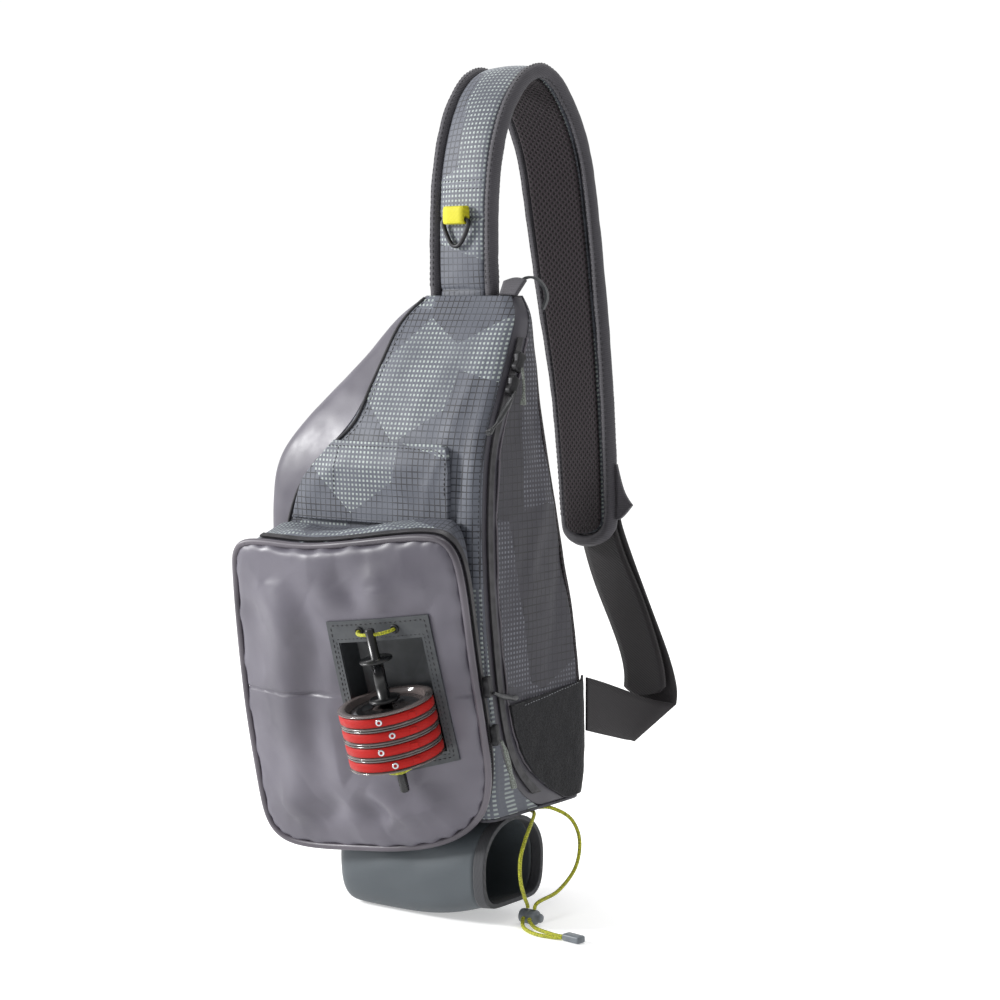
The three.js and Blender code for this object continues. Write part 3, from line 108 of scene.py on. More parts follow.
def noiseOf(tree, place, size, detail=3.0, rough=0.5):
    inputs = {"Vector": place, "Scale": 1 / (size * mm), "Detail": detail, "Roughness": rough}
    return addNode(tree, "ShaderNodeTexNoise", None, inputs).outputs["Fac"]


def addBump(tree, shader, height, distance, strength=1.0):
    bump = addNode(tree, "ShaderNodeBump", None, {"Strength": strength, "Distance": distance * mm, "Height": height})
    tree.links.new(bump.outputs[0], shader.inputs["Normal"])


def objectPlace(tree):
    return addNode(tree, "ShaderNodeTexCoord").outputs["Object"]


def clothPlace(tree):
    return addNode(tree, "ShaderNodeUVMap", {"uv_map": "cloth"}).outputs[0]


# How near a coordinate is to the closest line of a grid: 1 on the line, 0 between lines
def gridLine(tree, coordinate, pitch, width):
    away = math2(tree, "PINGPONG", coordinate, pitch * mm / 2)
    return spread(tree, away, width * mm * 0.5, width * mm * 0.5 + 0.25 * mm, 1.0, 0.0)


# Coated ripstop nylon: fine threads in squares on big angular patches, each with its own tone and thread colour
def ripstopFinish(name, tones, threads, patch=62.0, seed=0.0, pitch=4.2, dots=0.5):
    finish, tree, shader = newFinish(name, tones[0], 0.6, sheen=0.04)
    place = clothPlace(tree)
    turned = addNode(tree, "ShaderNodeMapping", None, {0: place, "Rotation": (0, 0, 0.5), "Location": (seed, seed, 0)})
    cells = addNode(tree, "ShaderNodeTexVoronoi", {"voronoi_dimensions": "2D"},
                    {"Vector": turned.outputs[0], "Scale": 1 / (patch * mm), "Randomness": 1.0})
    chance = addNode(tree, "ShaderNodeSeparateColor", None, {0: cells.outputs["Color"]})
    split = addNode(tree, "ShaderNodeSeparateXYZ", None, {0: place})
    across, along = split.outputs[0], split.outputs[1]
    lines = math2(tree, "MAXIMUM", gridLine(tree, across, pitch, 0.55), gridLine(tree, along, pitch, 0.55))
    fine = math2(tree, "MULTIPLY", gridLine(tree, across, 3.1, 1.2), gridLine(tree, along, 3.1, 1.2))
    pickDots = math2(tree, "LESS_THAN", chance.outputs[1], dots)
    ink = addNode(tree, "ShaderNodeMix", {"data_type": "FLOAT"}, {0: pickDots, 2: lines, 3: fine}).outputs[0]
    fade = spread(tree, noiseOf(tree, place, 26, 2), 0.35, 0.62, 0.45, 1.0)
    ink = math2(tree, "MULTIPLY", ink, fade)
    thread = mixColors(tree, pickDots, linear(threads[1]), linear(threads[0]))
    tone = mixColors(tree, chance.outputs[0], linear(tones[0]), linear(tones[1]))
    weave = noiseOf(tree, place, 0.9, 2)
    tone = mixColors(tree, math2(tree, "MULTIPLY", weave, 0.22), tone, linear("#2c2d33"))
    tree.links.new(mixColors(tree, math2(tree, "MULTIPLY", ink, 0.93), tone, thread), shader.inputs["Base Color"])
    height = math2(tree, "ADD", math2(tree, "MULTIPLY", lines, 0.7), math2(tree, "MULTIPLY", weave, 0.6))
    addBump(tree, shader, height, 0.25, 0.6)
    return finish


# Polyurethane-coated twill: smooth, with a soft satin gloss that varies in broad clouds
def satinFinish(name, light, dark, roughness=0.4):
    finish, tree, shader = newFinish(name, light, roughness, sheen=0.03, specular=0.5)
    place = objectPlace(tree)
    cloud = spread(tree, noiseOf(tree, place, 75, 3), 0.35, 0.65)
    grain = noiseOf(tree, place, 0.7, 2)
    tone = mixColors(tree, math2(tree, "MULTIPLY", cloud, 0.8), linear(light), linear(dark))
    tone = mixColors(tree, math2(tree, "MULTIPLY", grain, 0.12), tone, linear(dark))
    tree.links.new(tone, shader.inputs["Base Color"])
    tree.links.new(spread(tree, noiseOf(tree, place, 18, 3), 0.2, 0.8, roughness - 0.06, roughness + 0.1),
                   shader.inputs["Roughness"])
    addBump(tree, shader, grain, 0.12, 0.35)
    return finish


# Knitted spacer mesh: rows of open holes between thick threads, with the holes painted near black as the shade inside
# them
def meshFinish(name, thread, holeShade):
    finish, tree, shader = newFinish(name, thread, 0.9, sheen=0.05, specular=0.3)
    slant = (0, 0, math.radians(45))
    place = addNode(tree, "ShaderNodeMapping", None, {0: clothPlace(tree), "Rotation": slant}).outputs[0]
    holes = addNode(tree, "ShaderNodeTexVoronoi", {"voronoi_dimensions": "2D"},
                    {"Vector": place, "Scale": 1 / (3.1 * mm), "Randomness": 0.0})
    wall = spread(tree, holes.outputs["Distance"], 0.2, 0.42)
    fuzz = noiseOf(tree, place, 0.8, 3)
    # The holes take the painted shade colour; the fuzz on the next line darkens the threads a little towards it
    tone = mixColors(tree, wall, linear(holeShade), linear(thread))
    tone = mixColors(tree, math2(tree, "MULTIPLY", fuzz, 0.35), tone, linear(holeShade))
    tree.links.new(tone, shader.inputs["Base Color"])
    addBump(tree, shader, math2(tree, "ADD", wall, math2(tree, "MULTIPLY", fuzz, 0.3)), 0.8, 0.9)
    return finish


# Woven nylon tape or webbing: fine slanting ribs of thread
def wovenFinish(name, light, dark, rib=1.1, slant=(1.0, 1.0, 1.0), roughness=0.7, strength=0.5, sheen=0.06):
    finish, tree, shader = newFinish(name, light, roughness, sheen=sheen)
    place = objectPlace(tree)
    split = addNode(tree, "ShaderNodeSeparateXYZ", None, {0: place})
    run = math2(tree, "MULTIPLY_ADD", split.outputs[0], slant[0], math2(tree, "MULTIPLY", split.outputs[1], slant[1]))
    run = math2(tree, "MULTIPLY_ADD", split.outputs[2], slant[2], run)
    ribs = spread(tree, math2(tree, "PINGPONG", run, rib * mm / 2), 0.0, rib * mm / 2)
    grain = noiseOf(tree, place, 0.8, 3)
    wear = spread(tree, noiseOf(tree, place, 22, 3), 0.35, 0.7)
    mask = math2(tree, "MULTIPLY_ADD", grain, 0.5, math2(tree, "MULTIPLY", ribs, 0.5))
    tone = mixColors(tree, mask, linear(dark), linear(light))
    tone = mixColors(tree, math2(tree, "MULTIPLY", wear, 0.25), tone, linear(light))
    tree.links.new(tone, shader.inputs["Base Color"])
    addBump(tree, shader, math2(tree, "ADD", ribs, grain), 0.22, strength)
    return finish


# Moulded or plated hard parts: even colour with a faint mottled gloss
def mouldedFinish(name, color, shade, roughness, metallic=0.0, coat=0.0, grain=1.6, depth=0.05):
    finish, tree, shader = newFinish(name, color, roughness, metallic, coat=coat)
    place = objectPlace(tree)
    mottle = noiseOf(tree, place, 9, 4)
    tone = mixColors(tree, spread(tree, mottle, 0.35, 0.7), linear(color), linear(shade))
    tree.links.new(tone, shader.inputs["Base Color"])
    tree.links.new(spread(tree, mottle, 0.2, 0.8, roughness * 0.8, roughness * 1.25), shader.inputs["Roughness"])
    addBump(tree, shader, noiseOf(tree, place, grain, 2), depth, 0.4)
    return finish


# Brushed loop pile, which looks like felt with stray fibres
def pileFinish(name, light, dark):
    finish, tree, shader = newFinish(name, light, 0.95, sheen=0.12, specular=0.2)
    place = objectPlace(tree)
    tuft = noiseOf(tree, place, 0.9, 5, 0.7)
    cloud = noiseOf(tree, place, 14, 3)
    tone = mixColors(tree, spread(tree, tuft, 0.35, 0.65), linear(dark), linear(light))
    tone = mixColors(tree, math2(tree, "MULTIPLY", cloud, 0.4), tone, linear(dark))
    tree.links.new(tone, shader.inputs["Base Color"])
    addBump(tree, shader, tuft, 0.35, 0.8)
    return finish


# Braided cord: small strands packed close, with painted shade in the gaps between them
def braidFinish(name, light, dark):
    finish, tree, shader = newFinish(name, light, 0.6, sheen=0.05)
    place = objectPlace(tree)
    knots = addNode(tree, "ShaderNodeTexVoronoi", None, {"Vector": place, "Scale": 1 / (1.0 * mm), "Randomness": 0.5})
    strand = spread(tree, knots.outputs["Distance"], 0.15, 0.7)
    # The second colour is painted shade, laid in the gaps between the strands
    tree.links.new(mixColors(tree, strand, linear(light), linear(dark)), shader.inputs["Base Color"])
    addBump(tree, shader, strand, -0.25, 0.8)
    return finish


finishes = {
    "ripstop": ripstopFinish("coated ripstop nylon", ("#5c606a", "#484b55"), ("#a0aaa6", "#1b1c22"), 60, 0.013),
    "sideRipstop": ripstopFinish("dark ripstop nylon", ("#2a2830", "#37363f"), ("#666871", "#131217"), 78, 0.101, 5.0,
                                 0.35),
    "satin": satinFinish("coated satin twill", "#5f5c66", "#413e48", 0.41),
    "satinDark": satinFinish("coated zip tape", "#403e46", "#2c2a31", 0.42),
    # The spacer mesh's near-black second colour is painted shade inside its holes
    "spacerMesh": meshFinish("knitted spacer mesh", "#2a2227", "#050304"),
    "binding": wovenFinish("grosgrain binding", "#454349", "#2b292e", 1.3, (0.0, 0.3, 1.0)),
    "piping": satinFinish("satin piping", "#5a555d", "#332f36"),
    "hem": wovenFinish("dark hem tape", "#3d3e42", "#27282b", 1.2, (1.0, 0.2, 0.2)),
    "zipChain": mouldedFinish("nylon zip coil", "#2b292d", "#1b1a1d", 0.5),
    "pile": pileFinish("brushed loop pile", "#26262a", "#0c0c0e"),
    "sheet": mouldedFinish("moulded rubber sheet", "#393c3f", "#33363a", 0.48, grain=0.9, depth=0.03),
    "tray": mouldedFinish("thermoformed tray", "#36393c", "#2e3134", 0.4, grain=1.2, depth=0.02),
    # The darker colour of each braided cord is painted shade for the gaps between its strands
    "neon": braidFinish("braided neon cord", "#c6c81c", "#77790c"),
    "neonTape": wovenFinish("neon woven tape", "#cfc80f", "#9f990a", 1.2, (1.0, 0.0, 0.4)),
    "black": mouldedFinish("black acetal", "#101113", "#08090a", 0.3),
    "grey": mouldedFinish("grey acetal", "#6a7076", "#565b60", 0.42),
    "red": wovenFinish("red elastic band", "#b90f07", "#7e0604", 0.9, (0.1, 0.1, 1.0), 0.5, 0.3),
    "webbing": wovenFinish("polyester webbing", "#1e191d", "#0e0b0f", 1.6, (0.6, 0.6, 0.9), 0.65, 0.6, 0.05),
    "sleeve": wovenFinish("coated plain cloth", "#4b5257", "#3c4247", 0.9, (1.0, 0.0, 1.0), 0.55, 0.25),
    "haul": wovenFinish("narrow webbing", "#35383b", "#1e2022", 1.2, (0.2, 1.0, 0.6)),
    "metal": mouldedFinish("gunmetal plate", "#2f2f31", "#202022", 0.5, 0.6),
    "silver": mouldedFinish("nickel plate", "#c9c9cc", "#a9a9ad", 0.22, 1.0),
    # Here too the darker grey is painted shade between the strands
    "pull": braidFinish("braided grey cord", "#868c86", "#555953"),
    "tube": mouldedFinish("heat-shrunk tube", "#2e2f31", "#1d1e20", 0.4),
    "stitch": wovenFinish("sewing thread", "#2a292e", "#1a191c", 0.8),
    "paleStitch": wovenFinish("pale sewing thread", "#8d8f94", "#6a6c70", 0.8),
}
# Smoked clear plastic of the spools, a little cloudy
smoked, smokedTree, smokedShader = newFinish("smoked polycarbonate", "#8a7f7d", 0.12, coat=0.3)
smokedShader.inputs["Transmission Weight"].default_value = 0.45
cloudy = noiseOf(smokedTree, objectPlace(smokedTree), 12, 2)
smokedTone = mixColors(smokedTree, cloudy, linear("#8a7f7d"), linear("#6e6462"))
smokedTree.links.new(smokedTone, smokedShader.inputs["Base Color"])
addBump(smokedTree, smokedShader, cloudy, 0.05, 0.2)
finishes["smoked"] = smoked
# The elastic is dull, so that its red stays deep
finishes["red"].node_tree.nodes["Principled BSDF"].inputs["Specular IOR Level"].default_value = 0.2
print("stage: finishes")


# Turns a bmesh in millimetres into a finished piece that rides on a body.
def place(name, shape, finish, body="bag", stands=(), slot=None, uv=None, smooth=True):
    if uv is not None:
        layer = shape.loops.layers.uv.new("cloth")
        shape.verts.ensure_lookup_table()
        shape.verts.index_update()
        table = uv(np.array([v.co[:] for v in shape.verts]))
        for face in shape.faces:
            for loop in face.loops:
                loop[layer].uv = table[loop.vert.index] * mm
    bmesh.ops.scale(shape, vec=(mm, mm, mm), verts=shape.verts)
    mesh = bpy.data.meshes.new(name)
    shape.to_mesh(mesh)
    shape.free()
    mesh.polygons.foreach_set("use_smooth", [smooth] * len(mesh.polygons))
    piece = bpy.data.objects.new(name, mesh)
    bpy.context.scene.collection.objects.link(piece)
    for one in finish if isinstance(finish, list) else [finish]:
        mesh.materials.append(finishes[one])
    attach(piece, body)
    if stands:
        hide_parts(*stands)
    return piece


# A merged copy of a CAD node in millimetres, with its quads joined again
def copyNode(node):
    shape = bmesh.new()
    shape.from_mesh(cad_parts[node].data)
    bmesh.ops.scale(shape, vec=(1000, 1000, 1000), verts=shape.verts)
    bmesh.ops.remove_doubles(shape, verts=shape.verts, dist=0.01)
    bmesh.ops.join_triangles(shape, faces=shape.faces, angle_face_threshold=math.radians(50),
                             angle_shape_threshold=math.radians(70))
    return shape


# Runs modifiers on a bmesh and gives back the result as a bmesh.
def modified(shape, *modifiers):
    mesh = bpy.data.meshes.new("work")
    shape.to_mesh(mesh)
    shape.free()
    worker = bpy.data.objects.new("work", mesh)
    bpy.context.scene.collection.objects.link(worker)
    for kind, settings in modifiers:
        modifier = worker.modifiers.new(kind, kind)
        for key, value in settings.items():
            setattr(modifier, key, value)
    result = bmesh.new()
    result.from_object(worker, bpy.context.evaluated_depsgraph_get())
    bpy.data.objects.remove(worker)
    bpy.data.meshes.remove(mesh)
    return result


def smoothed(shape, levels, sharp=40):
    layer = shape.edges.layers.float.get("crease_edge") or shape.edges.layers.float.new("crease_edge")
    for edge in shape.edges:
        if len(edge.link_faces) == 2 and edge.calc_face_angle() > math.radians(sharp):
            edge[layer] = 1.0
    return modified(shape, ("SUBSURF", {"levels": levels, "render_levels": levels}))


def turned(shape, degrees, axis):
    bmesh.ops.rotate(shape, matrix=Matrix.Rotation(math.radians(degrees), 3, axis), cent=(0, 0, 0), verts=shape.verts)
    return shape


def shifted(shape, by):
    bmesh.ops.translate(shape, vec=by, verts=shape.verts)
    return shape


# A CAD node that only needs rounding: its copy stands for it
def dressed(node, name, finish, slot, levels=3, sharp=40, body="bag", uv=None):
    return place(name, smoothed(copyNode(node), levels, sharp), finish, body, (node,), slot, uv)


def points(shape):
    return np.array([v.co[:] for v in shape.verts])


def normals(shape):
    shape.normal_update()
    return np.array([v.normal[:] for v in shape.verts])


def movePoints(shape, moves):
    for vertex, move in zip(shape.verts, moves):
        vertex.co += Vector(move)


def roughness(places, size, seed=0.0):
    return np.array([noise.noise(Vector(p) / size + Vector((seed, seed * 1.7, 0))) for p in places])


# Soft ridges or creases between pairs of places on a plane: rows of ax, ay, bx, by, width, height
def folds(flat, rows):
    total = np.zeros(len(flat))
    for ax, ay, bx, by, width, height in rows:
        a, b = np.array([ax, ay]), np.array([bx, by])
        run = b - a
        share = np.clip(((flat - a) @ run) / (run @ run), 0, 1)
        away = np.linalg.norm(flat - (a + share[:, None] * run), axis=1)
        total += height * np.exp(-((away / width) ** 2)) * np.sin(np.pi * (0.12 + 0.76 * share))
    return total


def axesOf(middle, right, up, out):
    return np.array(middle), np.array([right, up, out])


def localTo(axes, places):
    return (places - axes[0]) @ axes[1].T


def worldFrom(axes, places):
    return axes[0] + np.asarray(places, float) @ axes[1]


# Where the pocket and the spool station stand, and which way they face
pocketAxes = axesOf((-5.0, -63.98, 148.4), (0.99692, 0.07846, 0.0), (0.01497, -0.19022, 0.98163),
                    (0.07702, -0.9786, -0.19081))
stationAxes = axesOf((29.751, -72.184, 155.449), (0.98196, 0.13907, 0.12813), (-0.09751, -0.20813, 0.97323),
                     (0.16202, -0.96816, -0.19081))


def treeOf(piece):
    mesh = piece.data
    corners = [tuple(v.co) for v in mesh.vertices]
    return bvhtree.BVHTree.FromPolygons(corners, [tuple(p.vertices) for p in mesh.polygons])


# Sewn lines: short raised thread lengths laid along a path on a piece's surface
def sew(name, surface, paths, finish="stitch", pitch=3.4, length=2.3, radius=0.32, lift=0.12, body="bag"):
    tree = treeOf(surface)
    shape = bmesh.new()
    for path in paths:
        line = np.array(path, float)
        steps = np.linalg.norm(np.diff(line, axis=0), axis=1)
        run = np.concatenate([[0], np.cumsum(steps)])
        for at in np.arange(pitch / 2, run[-1], pitch):
            spot = [Vector([np.interp(at + d, run, line[:, k]) for k in range(3)]) for d in (-length / 2, length / 2)]
            onto = [tree.find_nearest(p * mm) for p in spot]
            if any(hit[0] is None for hit in onto):
                continue
            a, b = (hit[0] * 1000 + hit[1] * lift for hit in onto)
            if (b - a).length < length * 0.4:
                continue
            turn = (b - a).to_track_quat("Z", "Y").to_matrix().to_4x4()
            where = Matrix.Translation((a + b) / 2) @ turn @ Matrix.Diagonal((1, 1, (b - a).length / (2 * radius), 1))
            bmesh.ops.create_icosphere(shape, subdivisions=1, radius=radius, matrix=where)
    return place(name, shape, finish, body)


# A tube through points, as a mesh, with rounded ends
def tube(route, radius):
    line = bpy.data.curves.new("route", "CURVE")
    line.dimensions = "3D"
    spline = line.splines.new("NURBS")
    spline.points.add(len(route) - 1)
    for point, spot in zip(spline.points, route):
        point.co = (*spot, 1)
    spline.order_u = 4
    spline.use_endpoint_u = True
    spline.resolution_u = 6
    line.bevel_depth = radius
    line.bevel_resolution = 3
    line.use_fill_caps = True
    carrier = bpy.data.objects.new("route", line)
    bpy.context.scene.collection.objects.link(carrier)
    shape = bmesh.new()
    mesh = bpy.data.meshes.new_from_object(carrier.evaluated_get(bpy.context.evaluated_depsgraph_get()))
    shape.from_mesh(mesh)
    bpy.data.objects.remove(carrier)
    bmesh.ops.remove_doubles(shape, verts=shape.verts, dist=0.001)
    return shape


# Catmull-Rom line through points, as many steps between each pair
def smoothLine(rows, steps=8):
    rows = np.array(rows, float)
    before = np.vstack([2 * rows[0] - rows[1], rows, 2 * rows[-1] - rows[-2]])
    out = []
    for i in range(len(rows) - 1):
        p0, p1, p2, p3 = before[i : i + 4]
        for t in np.arange(steps) / steps:
            square, cube = 2 * p0 - 5 * p1 + 4 * p2 - p3, 3 * p1 - p0 - 3 * p2 + p3
            out.append(0.5 * (2 * p1 + (p2 - p0) * t + square * t**2 + cube * t**3))
    out.append(rows[-1])
    return np.array(out)


# Cords: through the same places as the solid ones
cords = {
    "radius": 1.25,
    "front": [(71, 20, 69), (79, 14, 68.5), (88, -2, 66), (93, -16, 58), (95, -24, 47), (94, -22, 33), (90, -12, 20),
              (86.5, -4.5, 14), (86, -3, 11.8), (86, -3, 10.6)],
    "back": [(71, 28, 69), (79, 34, 68.5), (88, 43, 61), (93, 46, 47), (94, 40, 30), (93, 22, 18), (92, 3, 15),
             (91.5, -1.5, 13.4), (91.5, -3, 11.8), (91.5, -3, 10.6)],
    "tails": [[(86.5, -8.3, 5.3), (87, -10, 4.6), (93, -17, 1.8), (107, -24, 1.5), (121, -23.4, 1.5), (126.2, -22.4, 2)],
              [(91.5, -8.3, 5.3), (92, -9.8, 4.6), (99, -13, 1.8), (112, -17, 1.5), (121, -18.6, 1.5), (126.4, -18.8, 2)]],
}


def laidCord(name, route, node):
    line = smoothLine(route, 6)
    curve = bpy.data.curves.new(name, "CURVE")
    curve.dimensions = "3D"
    spline = curve.splines.new("POLY")
    spline.points.add(len(line) - 1)
    for point, spot in zip(spline.points, line):
        point.co = (*(spot * mm), 1)
    curve.bevel_depth = cords["radius"] * mm
    curve.bevel_resolution = 3
    curve.use_fill_caps = True
    curve.materials.append(finishes["neon"])
    piece = bpy.data.objects.new(name, curve)
    bpy.context.scene.collection.objects.link(piece)
    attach(piece, "bag")
    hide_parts(node)
    length = float(np.sum(np.linalg.norm(np.diff(line, axis=0), axis=1))) * mm
    return piece, length


lockPlace = (89, -3, 5.3)
lockProfile = [(0, -8), (3.1, -8), (4.5, -7.3), (4.8, -6.2), (4.8, -1), (4.5, -0.6), (4.8, -0.2), (4.8, 3.6), (4.4, 4.2),
               (3.0, 4.4), (3.0, 7.2), (2.5, 8), (0, 8)]


def spun(profile, steps=48):
    shape = bmesh.new()
    spots = [shape.verts.new((radius, 0, height)) for radius, height in profile]
    edges = [shape.edges.new(pair) for pair in zip(spots, spots[1:])]
    bmesh.ops.spin(shape, geom=spots + edges, cent=(0, 0, 0), axis=(0, 0, 1), angle=2 * math.pi, steps=steps,
                   use_merge=True)
    bmesh.ops.remove_doubles(shape, verts=shape.verts, dist=0.001)
    bmesh.ops.recalc_face_normals(shape, faces=shape.faces)
    return shape


lock = shifted(turned(spun(lockProfile, 32), 90, "Y"), lockPlace)
lockPiece = place("cord_lock_barrel", lock, "grey", stands=("cord_lock",), slot="grey_plastic")
endShape = copyNode("cord_end")
bmesh.ops.bevel(endShape, geom=endShape.edges, offset=1.3, segments=4, affect="EDGES", profile=0.5, material=-1)
endPiece = place("cord_end_clamp", endShape, "grey", stands=("cord_end",), slot="grey_plastic")
for part, end in (("front", "fitting"), ("back", "object")):
    route = cords[part]
    piece, length = laidCord(f"drawcord_{part}_strand", route, f"drawcord_{part}")
for i, route in enumerate(cords["tails"]):
    piece, length = laidCord(f"cord_tail_strand_{i + 1}", route, f"cord_tail_{i + 1}")
print("stage: cords")

# Main compartment
centre = np.array([0.0, 12.0, 0.0])


def outwards(places):
    flat = (places - centre) * np.array([1.0, 1.6, 0.0])
    return flat / np.maximum(np.linalg.norm(flat, axis=1), 1e-6)[:, None]


# Cloth lies flat to the front or to the side, a little longer where the wall leans
def frontUv(places):
    return np.stack([places[:, 0] + 0.15 * places[:, 1], places[:, 2] * 1.03], axis=1)


def sideUv(places):
    return places[:, [1, 2]]


panels = {
    "front_panel": {"finish": "ripstop", "slot": "ripstop", "uv": frontUv, "levels": 4, "bulge": 1.0,
                    "folds": [(-55, 285, 40, 296, 5, -1.2), (60, 240, 66, 330, 6, -1.4), (-30, 330, 10, 372, 9, 1.0),
                              (20, 330, 52, 392, 8, 0.9), (-46, 300, -20, 350, 5, -0.8), (48, 300, 64, 390, 5, 1.1)]},
    "right_gusset": {"finish": "sideRipstop", "slot": "dark_ripstop", "uv": sideUv, "levels": 4, "bulge": 1.4,
                     "folds": [(0, 200, 40, 320, 8, 1.3), (30, 150, 50, 260, 7, -1.2), (-20, 230, 30, 210, 6, 0.9),
                               (10, 340, 30, 280, 6, -1.0)]},
    "left_panel": {"finish": "satin", "slot": "satin", "uv": sideUv, "levels": 4, "bulge": 0.8,
                   "folds": [(-30, 240, 4, 340, 14, 1.6), (-40, 210, 20, 300, 12, -1.2), (0, 270, 30, 330, 12, 0.9)]},
    "back_panel": {"finish": "spacerMesh", "slot": "spacer_mesh", "uv": frontUv, "levels": 3, "bulge": 0.8,
                   "folds": [(-60, 120, 60, 120, 8, -2.0), (-60, 200, 60, 200, 8, -2.0), (-60, 280, 50, 280, 8, -1.6)]},
    "bottom_panel": {"finish": "sideRipstop", "slot": "dark_ripstop", "uv": frontUv, "levels": 2, "bulge": 0.0,
                     "folds": []},
}
made = {}
for node, setup in panels.items():
    shape = smoothed(copyNode(node), setup["levels"])
    spots = points(shape)
    plane = spots[:, [1, 2]] if node in ("right_gusset", "left_panel") else spots[:, [0, 2]]
    push = folds(plane, setup["folds"]) + setup["bulge"] * roughness(spots, 38, 3.1)
    push += 0.35 * setup["bulge"] * roughness(spots, 13, 7.7)
    low, high = spots[:, 2].min(), spots[:, 2].max()
    calm = np.clip((spots[:, 2] - low) / 25, 0, 1) * np.clip((high - spots[:, 2]) / 20, 0, 1)
    movePoints(shape, outwards(spots) * (push * calm)[:, None])
    made[node] = place(f"{node}_cloth", shape, setup["finish"], stands=(node,), slot=setup["slot"], uv=setup["uv"])
print("stage: compartment")

# Upper flap: its free corner is round, and its lower edge tucks in behind the pocket
flapSetup = {
    "corner": 12, "bulge": 0.8, "tuckFrom": 284, "tuckOver": 14, "tuckIn": 1.7, "tuckDown": 9.0,
    "leftFrom": -58, "leftOver": 8, "leftIn": 1.2,
    "folds": [(-50, 292, 40, 296, 6, 1.4), (-30, 280, 50, 276, 5, -1.0), (-60, 275, -20, 300, 5, 0.9),
              (40, 275, 52, 305, 4, 0.8)],
}
flapShape = smoothed(copyNode("upper_flap"), 4)
spots = points(flapShape)
push = folds(spots[:, [0, 2]], flapSetup["folds"]) + flapSetup["bulge"] * roughness(spots, 22, 1.3)
movePoints(flapShape, outwards(spots) * push[:, None])
flapBox = [np.array(corner) * 1000 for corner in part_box("upper_flap")]
spots = points(flapShape)
bend = flapSetup["corner"]
corner = np.stack([spots[:, 0] - flapBox[1][0] + bend, spots[:, 2] - flapBox[1][2] + bend], axis=1)
reach = np.linalg.norm(corner, axis=1)
shrink = np.where((corner.min(axis=1) > 0) & (reach > bend), bend / np.maximum(reach, 1) - 1, 0)
movePoints(flapShape, np.stack([corner[:, 0] * shrink, 0 * reach, corner[:, 1] * shrink], axis=1))
spots = points(flapShape)
tuck = np.clip((flapSetup["tuckFrom"] - spots[:, 2]) / flapSetup["tuckOver"], 0, 1)
loose = np.clip((flapSetup["leftFrom"] - spots[:, 0]) / flapSetup["leftOver"], 0, 1)
inwards = -flapSetup["tuckIn"] * tuck - flapSetup["leftIn"] * loose
movePoints(flapShape, outwards(spots) * inwards[:, None] - np.array([0, 0, flapSetup["tuckDown"]]) * tuck[:, None])
made["flap"] = place("upper_flap_cloth", flapShape, "ripstop", stands=("upper_flap",), slot="ripstop",
                     uv=lambda p: frontUv(p) + np.array([31, 47]))

patchShape = smoothed(copyNode("fly_patch"), 5)
spots = points(patchShape)
push = 0.12 * roughness(spots, 1.6, 2.2) + 0.3 * roughness(spots, 9, 5.2)
movePoints(patchShape, normals(patchShape) * push[:, None])
made["patch"] = place("fly_patch_pile", patchShape, "pile", stands=("fly_patch",), slot="loop_pile")

# Front pocket: remeshed evenly, eased, then folded
pocketSetup = {"voxel": 1.35, "ease": 12, "folds": 2.1, "seam": 1.7, "bulge": 2.2, "rimFill": 2.2, "swellTop": 5.0,
               "swellBottom": 6.5}
pocketFolds = [
    (-62, 70, -34, 40, 15, 1.8), (-40, 78, -10, 44, 13, -1.8), (-22, 70, 8, 52, 14, 2.0), (4, 78, 24, 46, 11, -2.2),
    (28, 78, 36, 46, 13, 2.0), (58, 74, 68, 20, 13, 1.8), (-50, -50, -44, 70, 14, 2.2), (-24, -10, -22, 40, 12, -1.4),
    (-14, -16, -4, -78, 15, 2.0), (8, -58, 44, -80, 13, 2.6), (-4, -64, 20, -86, 10, -2.2), (44, -56, 62, -80, 13, 2.2),
    (30, -80, 12, -90, 7, 1.8), (-66, -84, -40, -66, 13, 1.8), (-36, -88, -14, -70, 9, -1.6), (60, -30, 72, -60, 11, -1.4),
    (-36, 8, -30, -50, 12, -1.2),
]
pocketShape = modified(copyNode("front_pocket"), ("REMESH", {"mode": "VOXEL", "voxel_size": pocketSetup["voxel"]}))
for step in range(pocketSetup["ease"]):
    bmesh.ops.smooth_vert(pocketShape, verts=pocketShape.verts, factor=0.5, use_axis_x=True, use_axis_y=True,
                          use_axis_z=True)
spots = points(pocketShape)
flat = localTo(pocketAxes, spots)
onFace = np.clip((flat[:, 2] + 8) / 8, 0, 1)
window = localTo(stationAxes, spots)
awayFromWindow = np.clip((np.maximum(np.abs(window[:, 0]) - 38, np.abs(window[:, 1]) - 50)) / 14, 0, 1)
push = pocketSetup["folds"] * folds(flat[:, :2], pocketFolds) + pocketSetup["bulge"] * roughness(spots, 34, 4.4)
push *= onFace * awayFromWindow
edge = localTo(pocketAxes, points(copyNode("pocket_piping")))[:, :2]
toEdge = np.array([np.min(np.linalg.norm(edge - p, axis=1)) for p in flat[:, :2]])
push *= np.clip((toEdge - 5) / 18, 0, 1) ** 1.2
fill = pocketSetup["rimFill"] * np.exp(-((toEdge / 5) ** 2)) * np.exp(-(((flat[:, 2] + 3.5) / 5) ** 2))
rimOut = (flat[:, :2] / np.linalg.norm(flat[:, :2], axis=1)[:, None]) @ pocketAxes[1][:2] * fill[:, None]
seam = np.exp(-(((flat[:, 1] - 3 - 0.06 * flat[:, 0]) / 1.2) ** 2))
push -= pocketSetup["seam"] * seam * onFace * awayFromWindow
